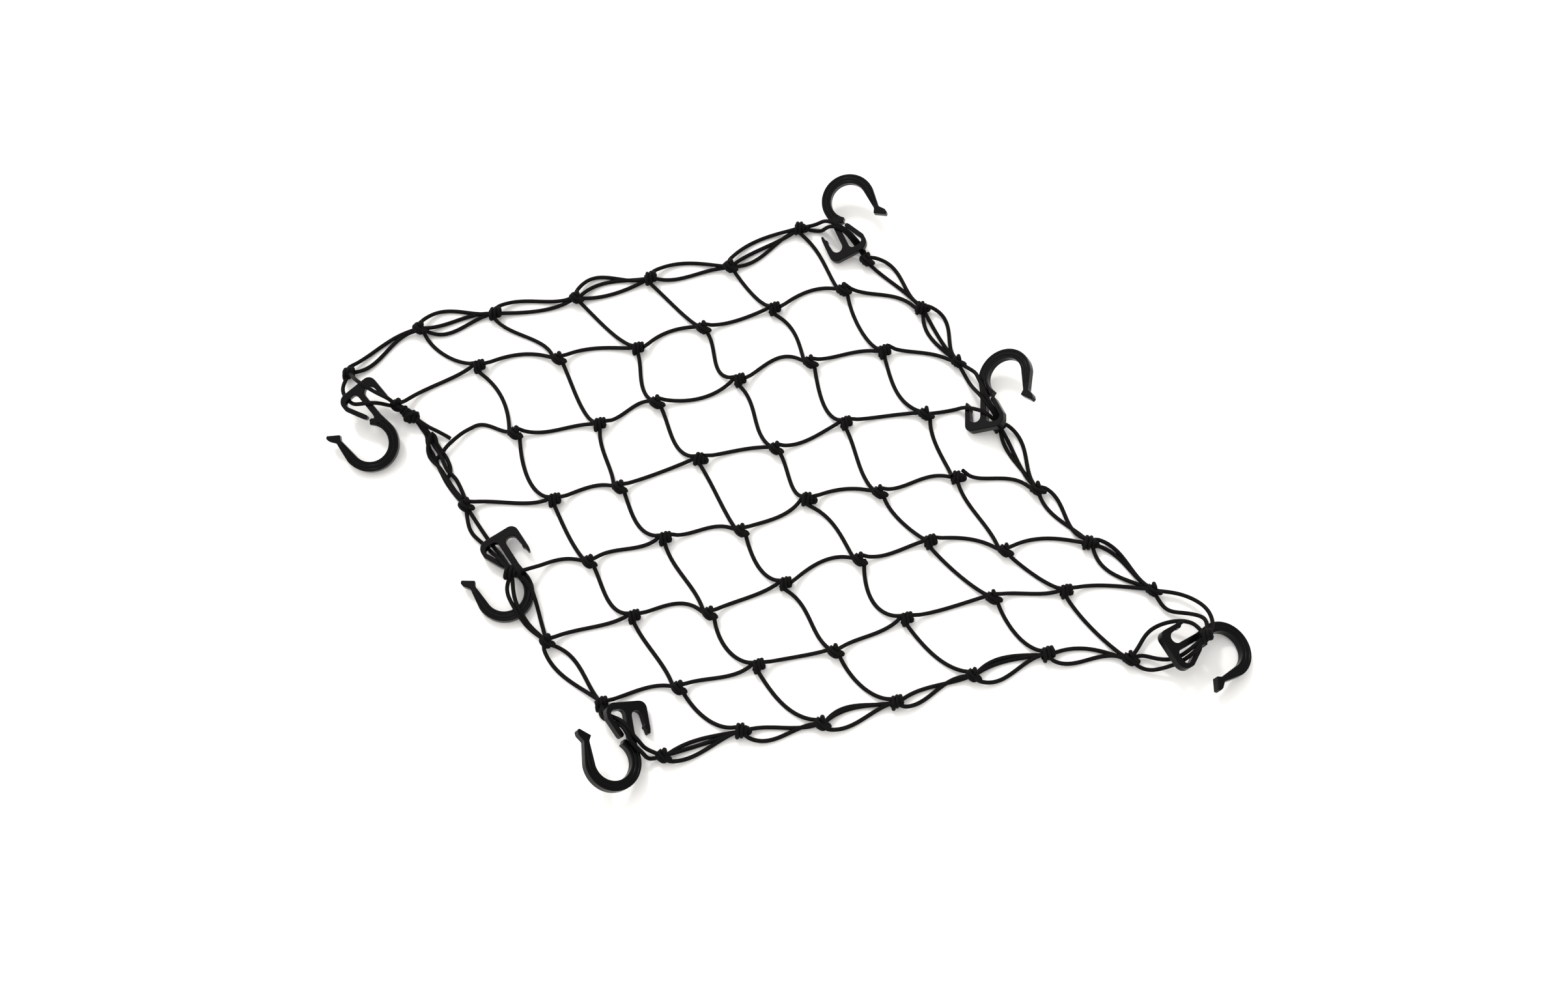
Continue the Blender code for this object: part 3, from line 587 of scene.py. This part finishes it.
# %% Threading table
OVER = THICK + 2.2  # height of a cord that lies on a hook
UNDER = -2.2  # and of one that lies beneath it
THREADED = (
    # hook, from knot, to knot, and the places of each cord
    ("hook_1", (0, 0), (1, 0), (
        (8.4, -8.3, -9.5), (10, -1, -5), (9.2, 4, -2.8), (8.8, 7, -0.4), (7.8, 8.8, 2.5),
        (5.2, 11.2, 6.4), (2.4, 13.4, OVER), (-4, 17.4, OVER), (-8.2, 21.6, 2.6), (-10.4, 24.2, -3),
    ), (
        (-4.2, -0.5, OVER), (-7, 8, OVER), (-9.6, 15, OVER), (-12.8, 21.8, 11.2),
    )),
    ("hook_2", (3, 0), (4, 0), (
        (13, -13, -3), (10.8, -4, -3.2), (8.8, 3.8, -3.4), (8.8, 8.2, 0.4), (8, 11.4, 5.4),
        (7.2, 14.8, 8.4),
    ), (
        (6, -4, UNDER), (5.4, 3.4, -2.8), (5.3, 8.3, 0.6), (4.9, 12, 5.2), (4.6, 16.4, OVER),
    )),
    ("hook_2", (4, 0), (5, 0), (
        (14, 36, OVER), (15.6, 47, OVER), (15.8, 56, OVER), (15, 64, 3),
    ), (
        (9.8, 38, OVER), (13.2, 46, OVER), (13.6, 55, OVER), (13.8, 62.6, 4),
    ), (
        (-0.4, 40, OVER), (1.2, 50, OVER), (3.6, 58, 5), (5.4, 63, 1),
    )),
    ("hook_2", (4, 0), (4, 1), (
        (-0.4, 31.4, 8.6), (-5, 31.9, 8.4), (-10.8, 32.8, 4), (-16, 33.2, 1.2), (-22.2, 34.2, -0.2),
        (-31.7, 38.7, 0.3),
    )),
    ("hook_3", (6, 0), (7, 0), (
        (13.5, 3.2, -2.8), (10.4, 6.4, -2), (8, 8.6, 1.2), (5.6, 11.6, 5.6), (3.9, 15.4, OVER),
        (1, 22, OVER), (-3.8, 27.4, 7.6), (-8.5, 30, 2),
    ), (
        (15.5, 6.6, -3), (11.4, 9.4, -2.8), (8.2, 10.8, 0.2), (6.2, 13.8, 4.4), (5.4, 18, 8.7),
        (3.9, 25, 8.6), (-0.6, 31, OVER), (-4.9, 34.2, OVER), (-9, 37.4, 2),
    )),
    ("hook_4", (2, 7), (3, 7), (
        (-12.7, 38.6, 2), (-7.2, 31, 6), (-2.8, 26, OVER), (0.8, 21.6, OVER), (3.8, 17, 7.4),
        (5.8, 13, 3.4), (7.2, 9.2, 0.2),
    ), (
        (-6, 43, 3.6), (-3.8, 39, OVER), (-0.6, 33, OVER), (2, 26.5, OVER), (4.4, 20, OVER),
        (5.5, 16, 5.4), (7.4, 12, 1.6), (9.6, 8.6, -1.4),
    )),
    ("hook_4", (3, 6), (3, 7), (
        (-20, 18.2, 4), (-14.6, 17.8, OVER), (-10, 16.6, OVER), (-1, 12.8, OVER), (2.8, 10.8, OVER),
        (4.6, 8.8, 4.2), (5.4, 8, -0.2),
    )),
    ("hook_5", (6, 7), (7, 7), (
        (-30, 37.6, -4), (-19.8, 42.8, 1), (-11.2, 42.6, 5.6), (-5.6, 39.6, OVER), (-0.2, 35.2, 10),
    ), (
        (-24.8, 25.8, -9.3), (-17, 33.6, -4), (-9.8, 37.4, 3), (-5.4, 35, OVER), (-1.2, 31, 9.2),
    )),
    ("hook_5", (7, 6), (7, 7), (
        (-12.4, -4.8, -17), (-19, 7.4, -13), (-18, 18.4, -7), (-13.4, 24.6, 0.6), (-7, 26.4, OVER),
        (-1, 25, 9.5),
    ), (
        (-8.9, -3.6, -17.4), (-3.3, 0.8, -15.6), (2.6, 4.6, -9), (5.2, 7.2, -2), (5.2, 10.6, 3.8),
        (4.6, 14, 8.6),
    ), (
        (-0.9, -9, -18.6), (3.6, -3.9, -16.6), (6.8, 3.4, -9), (8.6, 7.2, -1.6), (8.2, 10.4, 4.2),
        (7.8, 13.4, 8.9),
    )),
    ("hook_6", (0, 6), (0, 7), (
        (-12.4, 34, -2), (-7.4, 32.4, 3), (-3.2, 29, OVER), (2, 23, OVER), (5.6, 16.8, 7.4),
        (7.6, 11.8, 3.6), (8.9, 8.4, 0.6), (9.6, 4.4, -2.7), (9.8, -1, -3.2),
    ), (
        (-13.4, 28.4, -4), (-8.4, 26.5, 3), (-3.2, 25, OVER), (1.6, 21, OVER), (4.4, 16.2, 6.4),
        (5.4, 11.4, 3), (6.2, 8.2, 0.4), (6.9, 4.2, -2.7), (7.8, -1, -3.2),
    )),
)
print("cords pass a hook in", len(THREADED), "stretches")

# %% [markdown]
# ## Thread the cords
# A curve through the listed places is livelier than elastic cord, which pulls itself smooth. Fewer places
# would lose the way round the clip, so the path is eased instead.

# %% Thread the cords
THREAD_EASE = 14  # times that a threaded cord's path is eased
LAYER = 0.23  # how much higher the next cord of a hook lies, so that no two merge


def threaded_cord(hook, here, there, places, higher):
    """A cord from knot to knot that passes a hook on its way."""
    place = hook_frame(hook)
    start, end = knot_at(*here), knot_at(*there)
    middle = [place @ Vector(spot) for spot in places]
    first = start + (middle[0] - start).normalized() * GRIP
    last = end + (middle[-1] - end).normalized() * GRIP
    points = eased(through([first, *middle, last]), THREAD_EASE)
    for point in points:
        point.z += higher
    return points


threaded_paths = []
for hook, here, there, *cords in THREADED:
    for places in cords:
        higher = LAYER * (len(threaded_paths) % 3)
        threaded_paths.append(threaded_cord(hook, here, there, places, higher))
print(len(threaded_paths), "threaded cords,", metres(threaded_paths), "m")

# %% [markdown]
# ## The slack turns of the left border
# Beside the first hook the border was closed. Two strands leave the finishing knot as one thick bar, a
# bight is laid over them where the second run begins, and then they twist loosely down to the next knot. A
# formula for a twist would look like factory rope, so these strands are listed point by point, counted from
# the finishing knot, with their own height over the table.

# %% Strands listed point by point
STRAND_STEP = 1.4  # mm between the points of a strand
STRANDS = (
    ((0, 0, 6), (2.8, -3.4, 4), (4.9, -8.5, 2.8), (7.1, -14.2, 2.2), (6.8, -18.6, 2), (7.2, -23.4, 1.8),
     (8.6, -27.8, 1.5), (9.8, -32.4, 1.4), (10.8, -37.4, 1.4), (12.2, -43.2, 1.4), (14.2, -50.5, 1.4),
     (17.2, -58, 1.8), (21, -65.9, 3.5), (23.6, -69.6, 4.5)),
    ((0, 0, 7), (4, -3, 6), (6.8, -8.2, 4.6), (9.4, -14.4, 3.2), (12.2, -20.6, 2.4), (15, -27.6, 2),
     (17.2, -33.2, 1.8), (18.4, -40, 1.8), (17.8, -44.4, 2.2), (16, -47.4, 2.6), (14, -49, 2.4)),
    ((12.4, -25, 2.4), (12.8, -20.2, 3.6), (12.4, -16.6, 4.8), (11.4, -15.2, 5.8), (9.9, -17, 6.6),
     (8.6, -20.4, 6.6), (7, -24, 5.6), (6.4, -27.4, 4.4), (7, -31.4, 3.6), (9.2, -35.6, 3.6),
     (11.8, -39.8, 4), (14, -45.6, 4.2), (16.4, -52, 4), (19, -58.6, 3.8), (22.4, -65.6, 4.4)),
    ((9.6, -19, 2.2), (11, -23.4, 3.4), (12.8, -28, 4), (14.4, -33, 4.4), (15.2, -38, 4.4),
     (16.6, -42.8, 4.2), (18.8, -46.6, 3.4), (20.8, -50, 2.2), (22.4, -55.8, 1.6), (23.6, -62, 2.2),
     (24.4, -66.8, 3.6), (24.2, -70, 4.5)),
    ((9.4, -34.2, 1.6), (11.8, -31.4, 2), (15.4, -29.4, 3.6), (18.8, -26.4, 4.4), (24.6, -22.4, 4.4),
     (31.4, -18.2, 3.2), (39.3, -15.1, 2)),
)
AT_FINISH = Vector((finishing.x, finishing.y, 0.0))
slack_paths = [through([AT_FINISH + Vector(place) for place in strand], STRAND_STEP) for strand in STRANDS]

# The last strand is the second run: it rises over the turns and goes on to its first knot.
risen = slack_paths.pop()
arrives, into = port((2, 1), "run_in")
onward = bow(risen[-1], (risen[-1] - risen[-2]).normalized(), arrives, into)
slack_paths.append([*risen, *onward[1:], arrives + into * INSIDE / 2, arrives + into * INSIDE])
print("the slack strands take", metres(slack_paths), "m")

# %% [markdown]
# ## All the cord as one mesh
# An object for each cord would be easy to pick, but 150 of them are hard to dress. The real net is one
# soft thing, so its cords become one object.

# %% One piece of cord for the whole net
net_paths = mesh_paths + border_paths + threaded_paths + slack_paths
net_cords = link("net_cords", sweep("net_cords", net_paths))
print("net_cords:", len(net_cords.data.polygons), "faces,", metres(net_paths), "m of cord")

# %% [markdown]
# ## Knots
# A knot in thin cord is a few turns wrapped tightly round the cords that it holds, with a bight or two
# that stick out. Blocks with a bumpy texture would look right from far away only. Here each turn is an open
# ring of real cord, and its two ends dive into the middle where no one sees them.

# %% One wrapped turn
TURNS = 1.08  # of cord in one wrap
BEGIN = -125  # degrees round the axis where a wrap begins, underneath
CREEP = 0.9  # how far a wrap moves along the axis in its turn
TUCK = 0.4  # how deep its ends dive, as a share of its radius
TUCK_ENDS = 8  # they dive in the first and in the last eighth
FEWEST = 14  # steps in a small wrap
FINENESS = 6.4  # steps for each mm of width in a larger one


def wrap(along, wide, high, lean, aside):
    """One turn round the knot's axis X. `lean` carries its far side forward."""
    steps = max(FEWEST, round(FINENESS * wide))
    points = []
    for i in range(steps + 1):
        t = i / steps
        angle = radians(BEGIN + 360 * TURNS * t)
        tuck = 1 - TUCK * max(0.0, 1 - TUCK_ENDS * min(t, 1 - t))
        points.append(Vector((
            along + lean * cos(angle) + (t - 0.5) * CREEP,
            aside + wide * tuck * cos(angle),
            high * tuck * sin(angle),
        )))
    return points


print("one turn is", round(long(wrap(0.0, 3.6, 3.1, 0.5, 0.0)), 1), "mm of cord")

# %% [markdown]
# ## Two faces of one knot
# The same knot shows one face at the even crossings and its back at the odd ones. One knot copied
# everywhere would look like a moulded net. So each face has its own wraps, and its own bights, which are
# places for smooth paths. Two small knots of the closed border have theirs too.

# %% Tables of turns and bights
WRAPS = {
    # (along, wide, high, lean, aside) in mm, with X along the knot's axis
    "front": ((-2.7, 3.7, 3.15, 0.8, -0.5), (-0.1, 3.3, 3.15, 0.8, 0.3), (2.3, 2.5, 2.8, 0.6, 0.9)),
    "front low": ((-3, 3.9, 3.15, 0.9, -0.4), (-0.4, 3.7, 3.15, 0.9, -0.2), (1.9, 2, 2.6, 0.4, -0.4)),
    "back": ((-2.4, 2, 2.4, 0.3, -0.4), (0.2, 2.2, 2.5, 0.3, -0.2), (2.4, 1.9, 2.3, 0.4, 0)),
    "finishing": ((-2.6, 3.4, 3, 0.5, 0), (-0.1, 3.7, 3.1, 0.4, 0.2), (2.4, 3.1, 2.8, 0.4, 0.6)),
    "neck": ((-1.6, 2.2, 2.4, 0.2, 0.3), (1.2, 2.4, 2.6, 0.2, -0.2)),
}
BIGHTS = {
    "front": (
        ((0.4, -0.2, 0.2), (2.2, -0.5, 0.9), (3.1, -1.3, 0.9), (2.8, -2.1, 0.2), (1.6, -2, -0.4),
         (0.4, -1, -0.4)),
    ),
    "front low": (
        ((0.4, 0.2, 0.4), (2.6, 0.2, 1.6), (4.4, -0.5, 1.6), (4.6, -1.8, 0.8), (3.2, -2.4, 0),
         (1, -1.2, -0.4)),
    ),
    "back": (
        ((-2.6, 0.6, -0.6), (-3.5, -1, 0.6), (-2.4, -2.6, 1.6), (0, -3.1, 2), (2.4, -2.6, 1.4),
         (3.5, -1.2, 0.2), (2.4, 0.2, -0.6)),
        ((-2, 1.2, 0.4), (-3.2, 0.4, 1.6), (-2, -0.8, 2.9), (0.4, -1.1, 3.3), (2.8, -0.6, 2.4),
         (3.6, 0.4, 1), (2.2, 0.8, 0)),
        ((0.6, 0.2, 1), (0.7, 1.2, 2.8), (-0.5, 1.9, 3.9), (-1.8, 2.9, 3.3), (-2, 3.6, 1.9),
         (-1, 3, 0.7), (0, 1.4, 0.2)),
        ((0.8, 0.4, 0.8), (3, 0.3, 1.8), (5, 0.8, 1.7), (5.2, 2, 0.9), (3.4, 2.2, 0.3),
         (1.2, 1, 0.2)),
    ),
    "finishing": (
        ((1, 1, 0), (3.6, 2.2, 1.2), (4.6, 0.6, 1.2), (3.8, -1.4, 0.4), (1.2, -1, 0)),
        ((-2.6, -1.2, 0.6), (-2.4, -2.4, 2), (-0.8, -0.9, 4), (1.4, 1.2, 4.2), (3.2, 2.4, 2.4),
         (2.4, 2.4, 0.4)),
    ),
    "neck": (),
}
CORES = (  # the two cords that the wraps hold
    ((-4.4, 0.9, 0.3), (0, 1.1, 0.6), (4.2, 0.8, 0.3)),
    ((-4.2, -1, -0.3), (0, -1.1, -0.5), (3.6, -1.2, -0.6)),
)
NECK_SHARE = 0.55  # the neck between two knots holds shorter cords


def tie(face, centre, bearing, size=1.0):
    """Paths of one knot's cord, in the net."""
    turned = Matrix.Rotation(radians(bearing), 4, "Z")
    place = Matrix.Translation(centre) @ turned @ Matrix.Scale(size, 4)
    reach = NECK_SHARE if face == "neck" else 1.0
    paths = [wrap(*row) for row in WRAPS[face]]
    paths += [through([(x * reach, y * reach, z) for x, y, z in core]) for core in CORES]
    paths += [through(bight, step=0.8) for bight in BIGHTS[face]]
    return [[place @ point for point in path] for path in paths]


print("a back knot takes", metres(tie("back", Vector(), 0)), "m of cord")

# %% [markdown]
# ## A knot at every crossing
# Knots tied by hand are turned a little more or less and pulled more or less tight. The variety could be
# set for each knot, but it follows no rule, so it is drawn at random. A fixed seed gives the same net every
# time. About a third of the front knots have a lower bight.

# %% Tie them all
SEED = 7
AXIS = {"front": -4, "front low": -16, "back": -58}  # bearing of the knot's axis in the net
TURNED = 7  # degrees by which a knot may be turned more or less
SIZES = (0.93, 1.03)  # of the smallest and of the largest knot
LOW_BIGHT = 0.7  # a front knot that draws more than this has its bight low
FINISH_AXIS = -34
NECK_AXIS = -51
NECK_ASIDE = Vector((0.6, -0.6, 0.6))  # from half way between the first two knots of the closed border

random.seed(SEED)
knot_paths = []
for run in range(KNOTS):
    for column in range(KNOTS):
        face = knot_face(run, column)
        turn = random.uniform(-TURNED, TURNED)
        size = random.uniform(*SIZES)
        luck = random.random()
        if (run, column) == LOOSE_KNOT:
            continue
        if face == "front" and luck > LOW_BIGHT:
            face = "front low"
        knot_paths += tie(face, knot_at(run, column), AXIS[face] + turn, size)
neck = (knot_at(1, 0) + finishing) / 2 + NECK_ASIDE
knot_paths += tie("finishing", finishing, FINISH_AXIS)
knot_paths += tie("neck", neck, NECK_AXIS)
for path in knot_paths:
    for point in path:
        point.z = max(point.z, LOWEST)
net_knots = link("net_knots", sweep("net_knots", knot_paths))
print("net_knots:", len(knot_paths), "short cords,", len(net_knots.data.polygons), "faces")

# %% [markdown]
# ## The hooks
# Each hook is moulded in one piece of stiff plastic: a J that hooks over a rack, and a clip whose arm snaps
# on a tooth. It could be pulled out of a box, but the outline already says nearly all. So the outline
# becomes a face, the face is extruded to a plate, and one bevel softens its rims and its sharp upright
# corners, as a mould does.

# %% A plate with soft rims
RIM = 0.52  # how wide the softened edges are
RIM_STEPS = 3
ROUNDED = radians(25)  # corners of the outline sharper than this are rounded too

shape = bmesh.new()
corners = [shape.verts.new((x * MM, y * MM, 0.0)) for x, y in hook_outline(2)]
raised = bmesh.ops.extrude_face_region(shape, geom=[shape.faces.new(corners)])
lifted = [item for item in raised["geom"] if isinstance(item, bmesh.types.BMVert)]
bmesh.ops.translate(shape, vec=(0.0, 0.0, THICK * MM), verts=lifted)
bmesh.ops.recalc_face_normals(shape, faces=shape.faces)
soft = []
for edge in shape.edges:
    upright = abs(edge.verts[0].co.z - edge.verts[1].co.z) > THICK * MM / 2
    if not upright or edge.calc_face_angle() > ROUNDED:
        soft.append(edge)
bmesh.ops.bevel(
    shape, geom=soft, offset=RIM * MM, segments=RIM_STEPS, affect="EDGES", profile=0.5, material=-1,
)
plate = built("hook_plate", shape)
print("a bevelled plate has", len(plate.data.polygons), "faces")

# %% [markdown]
# ## Channels along the bend
# A moulded hook has channels along its bend, on both faces, which save plastic. They could be inset and
# pushed in. Here a Boolean cuts them with swept cord, because a tube that is partly sunk in a flat face
# leaves just such a rounded trough. Weighted normals then keep the flat faces flat to the eye.

# %% Cut the channels
CHANNELS = ((14.3, 212), (16.9, 204))  # radius from the bend's middle, and the bearing where it ends
CHANNEL_ACROSS = 1.5  # across the cutter
CUTTER_CLEAR = 0.22  # how far outside the face the cutter's middle stays
LIMB_DROPS = (11.0, 8.0, 5.0, 2.5)  # places down the limb, below the bend's middle
BEND_STEPS = 40

cutter_paths = []
for radius, end in CHANNELS:
    flat = [(BEND[0] + radius, BEND[1] - drop) for drop in LIMB_DROPS]
    flat += arc(BEND, radius, 0, end, BEND_STEPS)
    for height in (THICK + CUTTER_CLEAR, -CUTTER_CLEAR):
        cutter_paths.append([Vector((x, y, height)) for x, y in flat])
cutter = link("channel_cutter", sweep("channel_cutter", cutter_paths, CHANNEL_ACROSS, capped=True))
cut = plate.modifiers.new("Channels", "BOOLEAN")
cut.operation = "DIFFERENCE"
cut.solver = "EXACT"
cut.object = cutter
weighted = plate.modifiers.new("Flat faces", "WEIGHTED_NORMAL")
weighted.keep_sharp = True
plate.data.shade_smooth()
hook_master = final_mesh(plate)
bpy.data.objects.remove(plate)
bpy.data.objects.remove(cutter)
print("with its channels it has", len(hook_master.polygons), "faces")

# %% [markdown]
# ## Six hooks in the net
# The same moulding lies in six places. Linked copies would save memory, but a finished piece stands at the
# origin with its place in its mesh. So each hook gets a copy of the mesh, moved to where it belongs.

# %% Put the hooks in place
hooks = []
for name in HOOKS:
    mesh = hook_master.copy()
    place = hook_frame(name)
    place.translation *= MM
    mesh.transform(place)
    hooks.append(link(name + "_moulded", mesh))
bpy.data.meshes.remove(hook_master)
print(len(hooks), "hooks of", len(hooks[0].data.polygons), "faces")

# %% [markdown]
# ## Reckoning with shader sockets
# A procedural finish is a formula in nodes, and formulas are hard to read as twenty linked boxes. A small
# class wraps a socket so that +, - and * make Math nodes.

# %% A socket that can be reckoned with
class Reading:
    """A number that varies over the surface."""

    def __init__(self, finish, socket):
        self.finish, self.socket = finish, socket

    def math(self, operation, *terms):
        """A Math node on numbers or readings."""
        node = self.finish.tree.nodes.new("ShaderNodeMath")
        node.operation = operation
        for socket, term in zip(node.inputs, terms):
            self.finish.put(socket, term)
        return Reading(self.finish, node.outputs[0])

    def __add__(self, other):
        return self.math("ADD", self, other)

    def __sub__(self, other):
        return self.math("SUBTRACT", self, other)

    def __mul__(self, other):
        return self.math("MULTIPLY", self, other)

    def sine(self):
        return self.math("SINE", self)

    def greatest(self, other):
        return self.math("MAXIMUM", self, other)


print("readings can be added and multiplied")

# %% [markdown]
# ## Nodes in the making
# Cord, plastic, table and sky need the same few kinds of node. Each could be made where it is used, with
# three or four lines a node. A second class needs one line for any of them.

# %% Nodes in the making
class Finish:
    """The nodes of a material or of the sky."""

    def __init__(self, owner, shader="Principled BSDF"):
        owner.use_nodes = True
        self.owner = owner
        self.tree = owner.node_tree
        self.shader = self.tree.nodes[shader]

    def put(self, socket, value):
        """A link from a reading, or a plain value."""
        if isinstance(value, Reading):
            self.tree.links.new(value.socket, socket)
        else:
            socket.default_value = value

    def node(self, kind, settings=None, output=0, **values):
        """Any node: its settings first, then the values or links of its sockets."""
        made = self.tree.nodes.new(kind)
        for setting, value in (settings or {}).items():
            setattr(made, setting, value)
        for socket, value in values.items():
            self.put(made.inputs[socket.replace("_", " ")], value)
        return Reading(self, made.outputs[output])

    def noise(self, scale, detail, **more):
        """Noise on Object coordinates: `scale` is its waves in a metre."""
        spot = self.node("ShaderNodeTexCoord", output=3)
        return self.node("ShaderNodeTexNoise", Vector=spot, Scale=scale, Detail=detail, **more)

    def between(self, factor, low, high):
        """A colour between two others."""
        ends = {"A": (*low, 1.0), "B": (*high, 1.0)}
        return self.node("ShaderNodeMix", {"data_type": "RGBA"}, output=2, Factor=factor, **ends)

    def surface(self, **values):
        """Set the sockets of the shader itself."""
        for socket, value in values.items():
            self.put(self.shader.inputs[socket.replace("_", " ")], value)


print("one class serves the materials and the sky")

# %% [markdown]
# ## Braided elastic
# The cord is a rubber core in a fine braid of black yarn: sixteen yarns, eight each way round. A picture
# of a braid could be wrapped round it. But two sets of slanting waves that cross give the same diamonds at
# any size, and the higher of the two is the yarn on top. The waves need the cord's own map, because the
# braid must run along every cord. The colour follows the waves too: paler on the yarns on top and darker
# in the grooves between them, which is painted shading. A slow noise makes some stretches a little paler,
# as dust does.

# %% Finish of the cord
LAY = 7.5  # mm of cord for one turn of a yarn
CARRIERS = 8  # yarns each way
YARN_DARK = (0.0006, 0.0006, 0.0007)
YARN_PALE = (0.0074, 0.0071, 0.0069)

cord_finish = Finish(bpy.data.materials.new("braided_elastic"))
cord_map = cord_finish.node("ShaderNodeUVMap", {"uv_map": "UVMap"})
lengthwise = cord_finish.node("ShaderNodeSeparateXYZ", output=0, Vector=cord_map)
roundwise = cord_finish.node("ShaderNodeSeparateXYZ", output=1, Vector=cord_map)
along = lengthwise * (2 * pi * CARRIERS / LAY)
turning = roundwise * (2 * pi * CARRIERS)
one_way = (turning + along).sine()
other_way = (turning - along).sine()
yarn = one_way.greatest(other_way)

patches = cord_finish.noise(scale=120, detail=3)
fuzz = cord_finish.noise(scale=2600, detail=2)
# Painted shading: darker in the grooves between yarns and paler on the yarns on top; the slow patches are
# real paler stretches.
paleness_and_groove_shade = patches * 0.6 + yarn * 0.3 + 0.1
colour = cord_finish.between(paleness_and_groove_shade, YARN_DARK, YARN_PALE)
height = yarn * 0.8 + fuzz * 0.5
relief = cord_finish.node("ShaderNodeBump", Strength=0.5, Distance=0.00012, Height=height)
cord_finish.surface(Base_Color=colour, Roughness=patches * 0.2 + 0.5, Normal=relief, IOR=1.14)
print("yarns are", round(LAY / CARRIERS, 2), "mm wide")

# %% [markdown]
# ## Moulded plastic
# The hooks are black nylon straight from the mould: a satin skin with a very fine grain, whose gloss varies
# softly where the plastic flowed. One even gloss would be simpler and look less real. Object coordinates
# are in metres, so a noise of scale 3000 has a grain of a third of a millimetre, and one of scale 90
# changes about every centimetre.

# %% Finish of the hooks
NYLON_DARK = (0.0005, 0.0005, 0.0007)
NYLON_PALE = (0.0020, 0.0020, 0.0023)

hook_finish = Finish(bpy.data.materials.new("moulded_nylon"))
grain = hook_finish.noise(scale=3000, detail=2)
flow = hook_finish.noise(scale=90, detail=4, Distortion=0.8)
colour = hook_finish.between(flow, NYLON_DARK, NYLON_PALE)
height = grain + flow * 1.5
relief = hook_finish.node("ShaderNodeBump", Strength=0.25, Distance=0.00006, Height=height)
hook_finish.surface(Base_Color=colour, Roughness=flow * 0.14 + 0.16, Normal=relief, IOR=1.18)

for finish, pieces in ((cord_finish, (tail, net_cords, net_knots)), (hook_finish, hooks)):
    for piece in pieces:
        piece.data.materials.clear()
        piece.data.materials.append(finish.owner)
    print(finish.owner.name, "dresses", len(pieces), "pieces")

# %% [markdown]
# ## The table
# The net lies on a plain white table, far wider than the net. One even white would do from afar. A slow
# noise shifts it by two hundredths, which is felt more than seen.

# %% White table
TABLE_HALF = 3.0  # metres from its middle to an edge
WHITE_LOW = (0.93, 0.925, 0.915)
WHITE_HIGH = (0.95, 0.945, 0.935)

table_finish = Finish(bpy.data.materials.new("white_table"))
colour = table_finish.between(table_finish.noise(scale=9, detail=3), WHITE_LOW, WHITE_HIGH)
table_finish.surface(Base_Color=colour, Roughness=0.7, Specular_IOR_Level=0.2)
board = bmesh.new()
bmesh.ops.create_grid(board, x_segments=1, y_segments=1, size=TABLE_HALF)
table = built("table", board)
table.data.materials.append(table_finish.owner)
table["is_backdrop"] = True
print("the table is", TABLE_HALF * 2, "m wide")

# %% [markdown]
# ## The sky
# Half of the light comes from all round, as in a white tent. An even sky would do, but one that is brighter
# near the horizon leaves the flat tops of the hooks dark and melts into the far edge of the table. The
# height of a direction is its Z, so a Map Range on Z gives the strength.

# %% Pale sky
SKY_LOW, SKY_HIGH = 1.35, 0.775  # strength at the horizon and straight overhead
SKY_COLOUR = (1.0, 0.985, 0.965, 1.0)  # a little warm

sky = Finish(bpy.data.worlds.new("sky"), "Background")
direction = sky.node("ShaderNodeTexCoord")
upward = sky.node("ShaderNodeSeparateXYZ", output=2, Vector=direction)
fade = sky.node("ShaderNodeMapRange", Value=upward, To_Min=SKY_LOW, To_Max=SKY_HIGH)
sky.surface(Color=SKY_COLOUR, Strength=fade)
bpy.context.scene.world = sky.owner
print("the sky goes from", SKY_LOW, "to", SKY_HIGH)

# %% [markdown]
# ## Two lamps
# A black net on a white table needs broad, soft light. Area lamps must be placed and sized, while a sun
# needs only a direction and an apparent size. A very wide sun from the far left throws faint soft shadows
# to the near right. A small one beside it gives the rims of the hooks their glints.

# %% Wide sun and small sun
LAMP_COLOUR = (1.0, 0.99, 0.975)


def shine(name, energy, angle, bearing, up):
    """A sun of an apparent size that shines towards a bearing in plan, from so many degrees up."""
    lamp = bpy.data.lights.new(name, "SUN")
    lamp.energy = energy
    lamp.angle = radians(angle)
    lamp.color = LAMP_COLOUR
    sun = bpy.data.objects.new(name, lamp)
    towards = way(bearing) * cos(radians(up)) - Vector((0, 0, sin(radians(up))))
    sun.rotation_euler = towards.to_track_quat("-Z", "Y").to_euler()
    bpy.context.scene.collection.objects.link(sun)


shine("soft_sun", energy=1.35, angle=70, bearing=-59, up=58)
shine("spark", energy=1.0, angle=8, bearing=-75, up=48)
bpy.context.scene.view_settings.view_transform = "Standard"

# %% [markdown]
# All ride on the one body that the part has. The net takes the place of the runs and borders, and each
# hook that of its own solid.

# %% Ride and replace
NET_NODES = [f"net_run_{run}" for run in range(1, LAST)]
NET_NODES += [f"border_{side}" for side in FANS]
for piece in (net_cords, net_knots):
    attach(piece, "root")
    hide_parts(*NET_NODES)
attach(tail, "root")
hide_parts("cord_tail")
for piece, name in zip(hooks, HOOKS):
    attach(piece, "root")
    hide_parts(name)
print("the net stands for", len(NET_NODES), "solids")

# %% [markdown]
# ## Sizes of what is soft
# The loose end's start, length and points are reckoned in metres. The net was knotted square and laid
# down, and its area is the skin of the cord, because open tubes count in full.

# %% Cord and sheet
tail_path[0] * MM
long(tail_path) * MM
[point * MM for point in tail_path]
cord_area = sum(map(long, net_paths)) * CORD * pi * MM * MM

# %% [markdown]
# ## Measure and finish
# The last step keeps the bounds of the finished pieces beside those of the solids that they stand for. Two
# boxes, one from the start and one from now, are enough to show a piece that has slipped or grown.

# %% Keep both sizes
boxes = {
    "cad": [list(corner) for corner in solid_box],
    "visual": [list(corner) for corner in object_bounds()],
}
print("model spans", [round((b - a) / MM, 1) for a, b in zip(*boxes["visual"])], "mm")
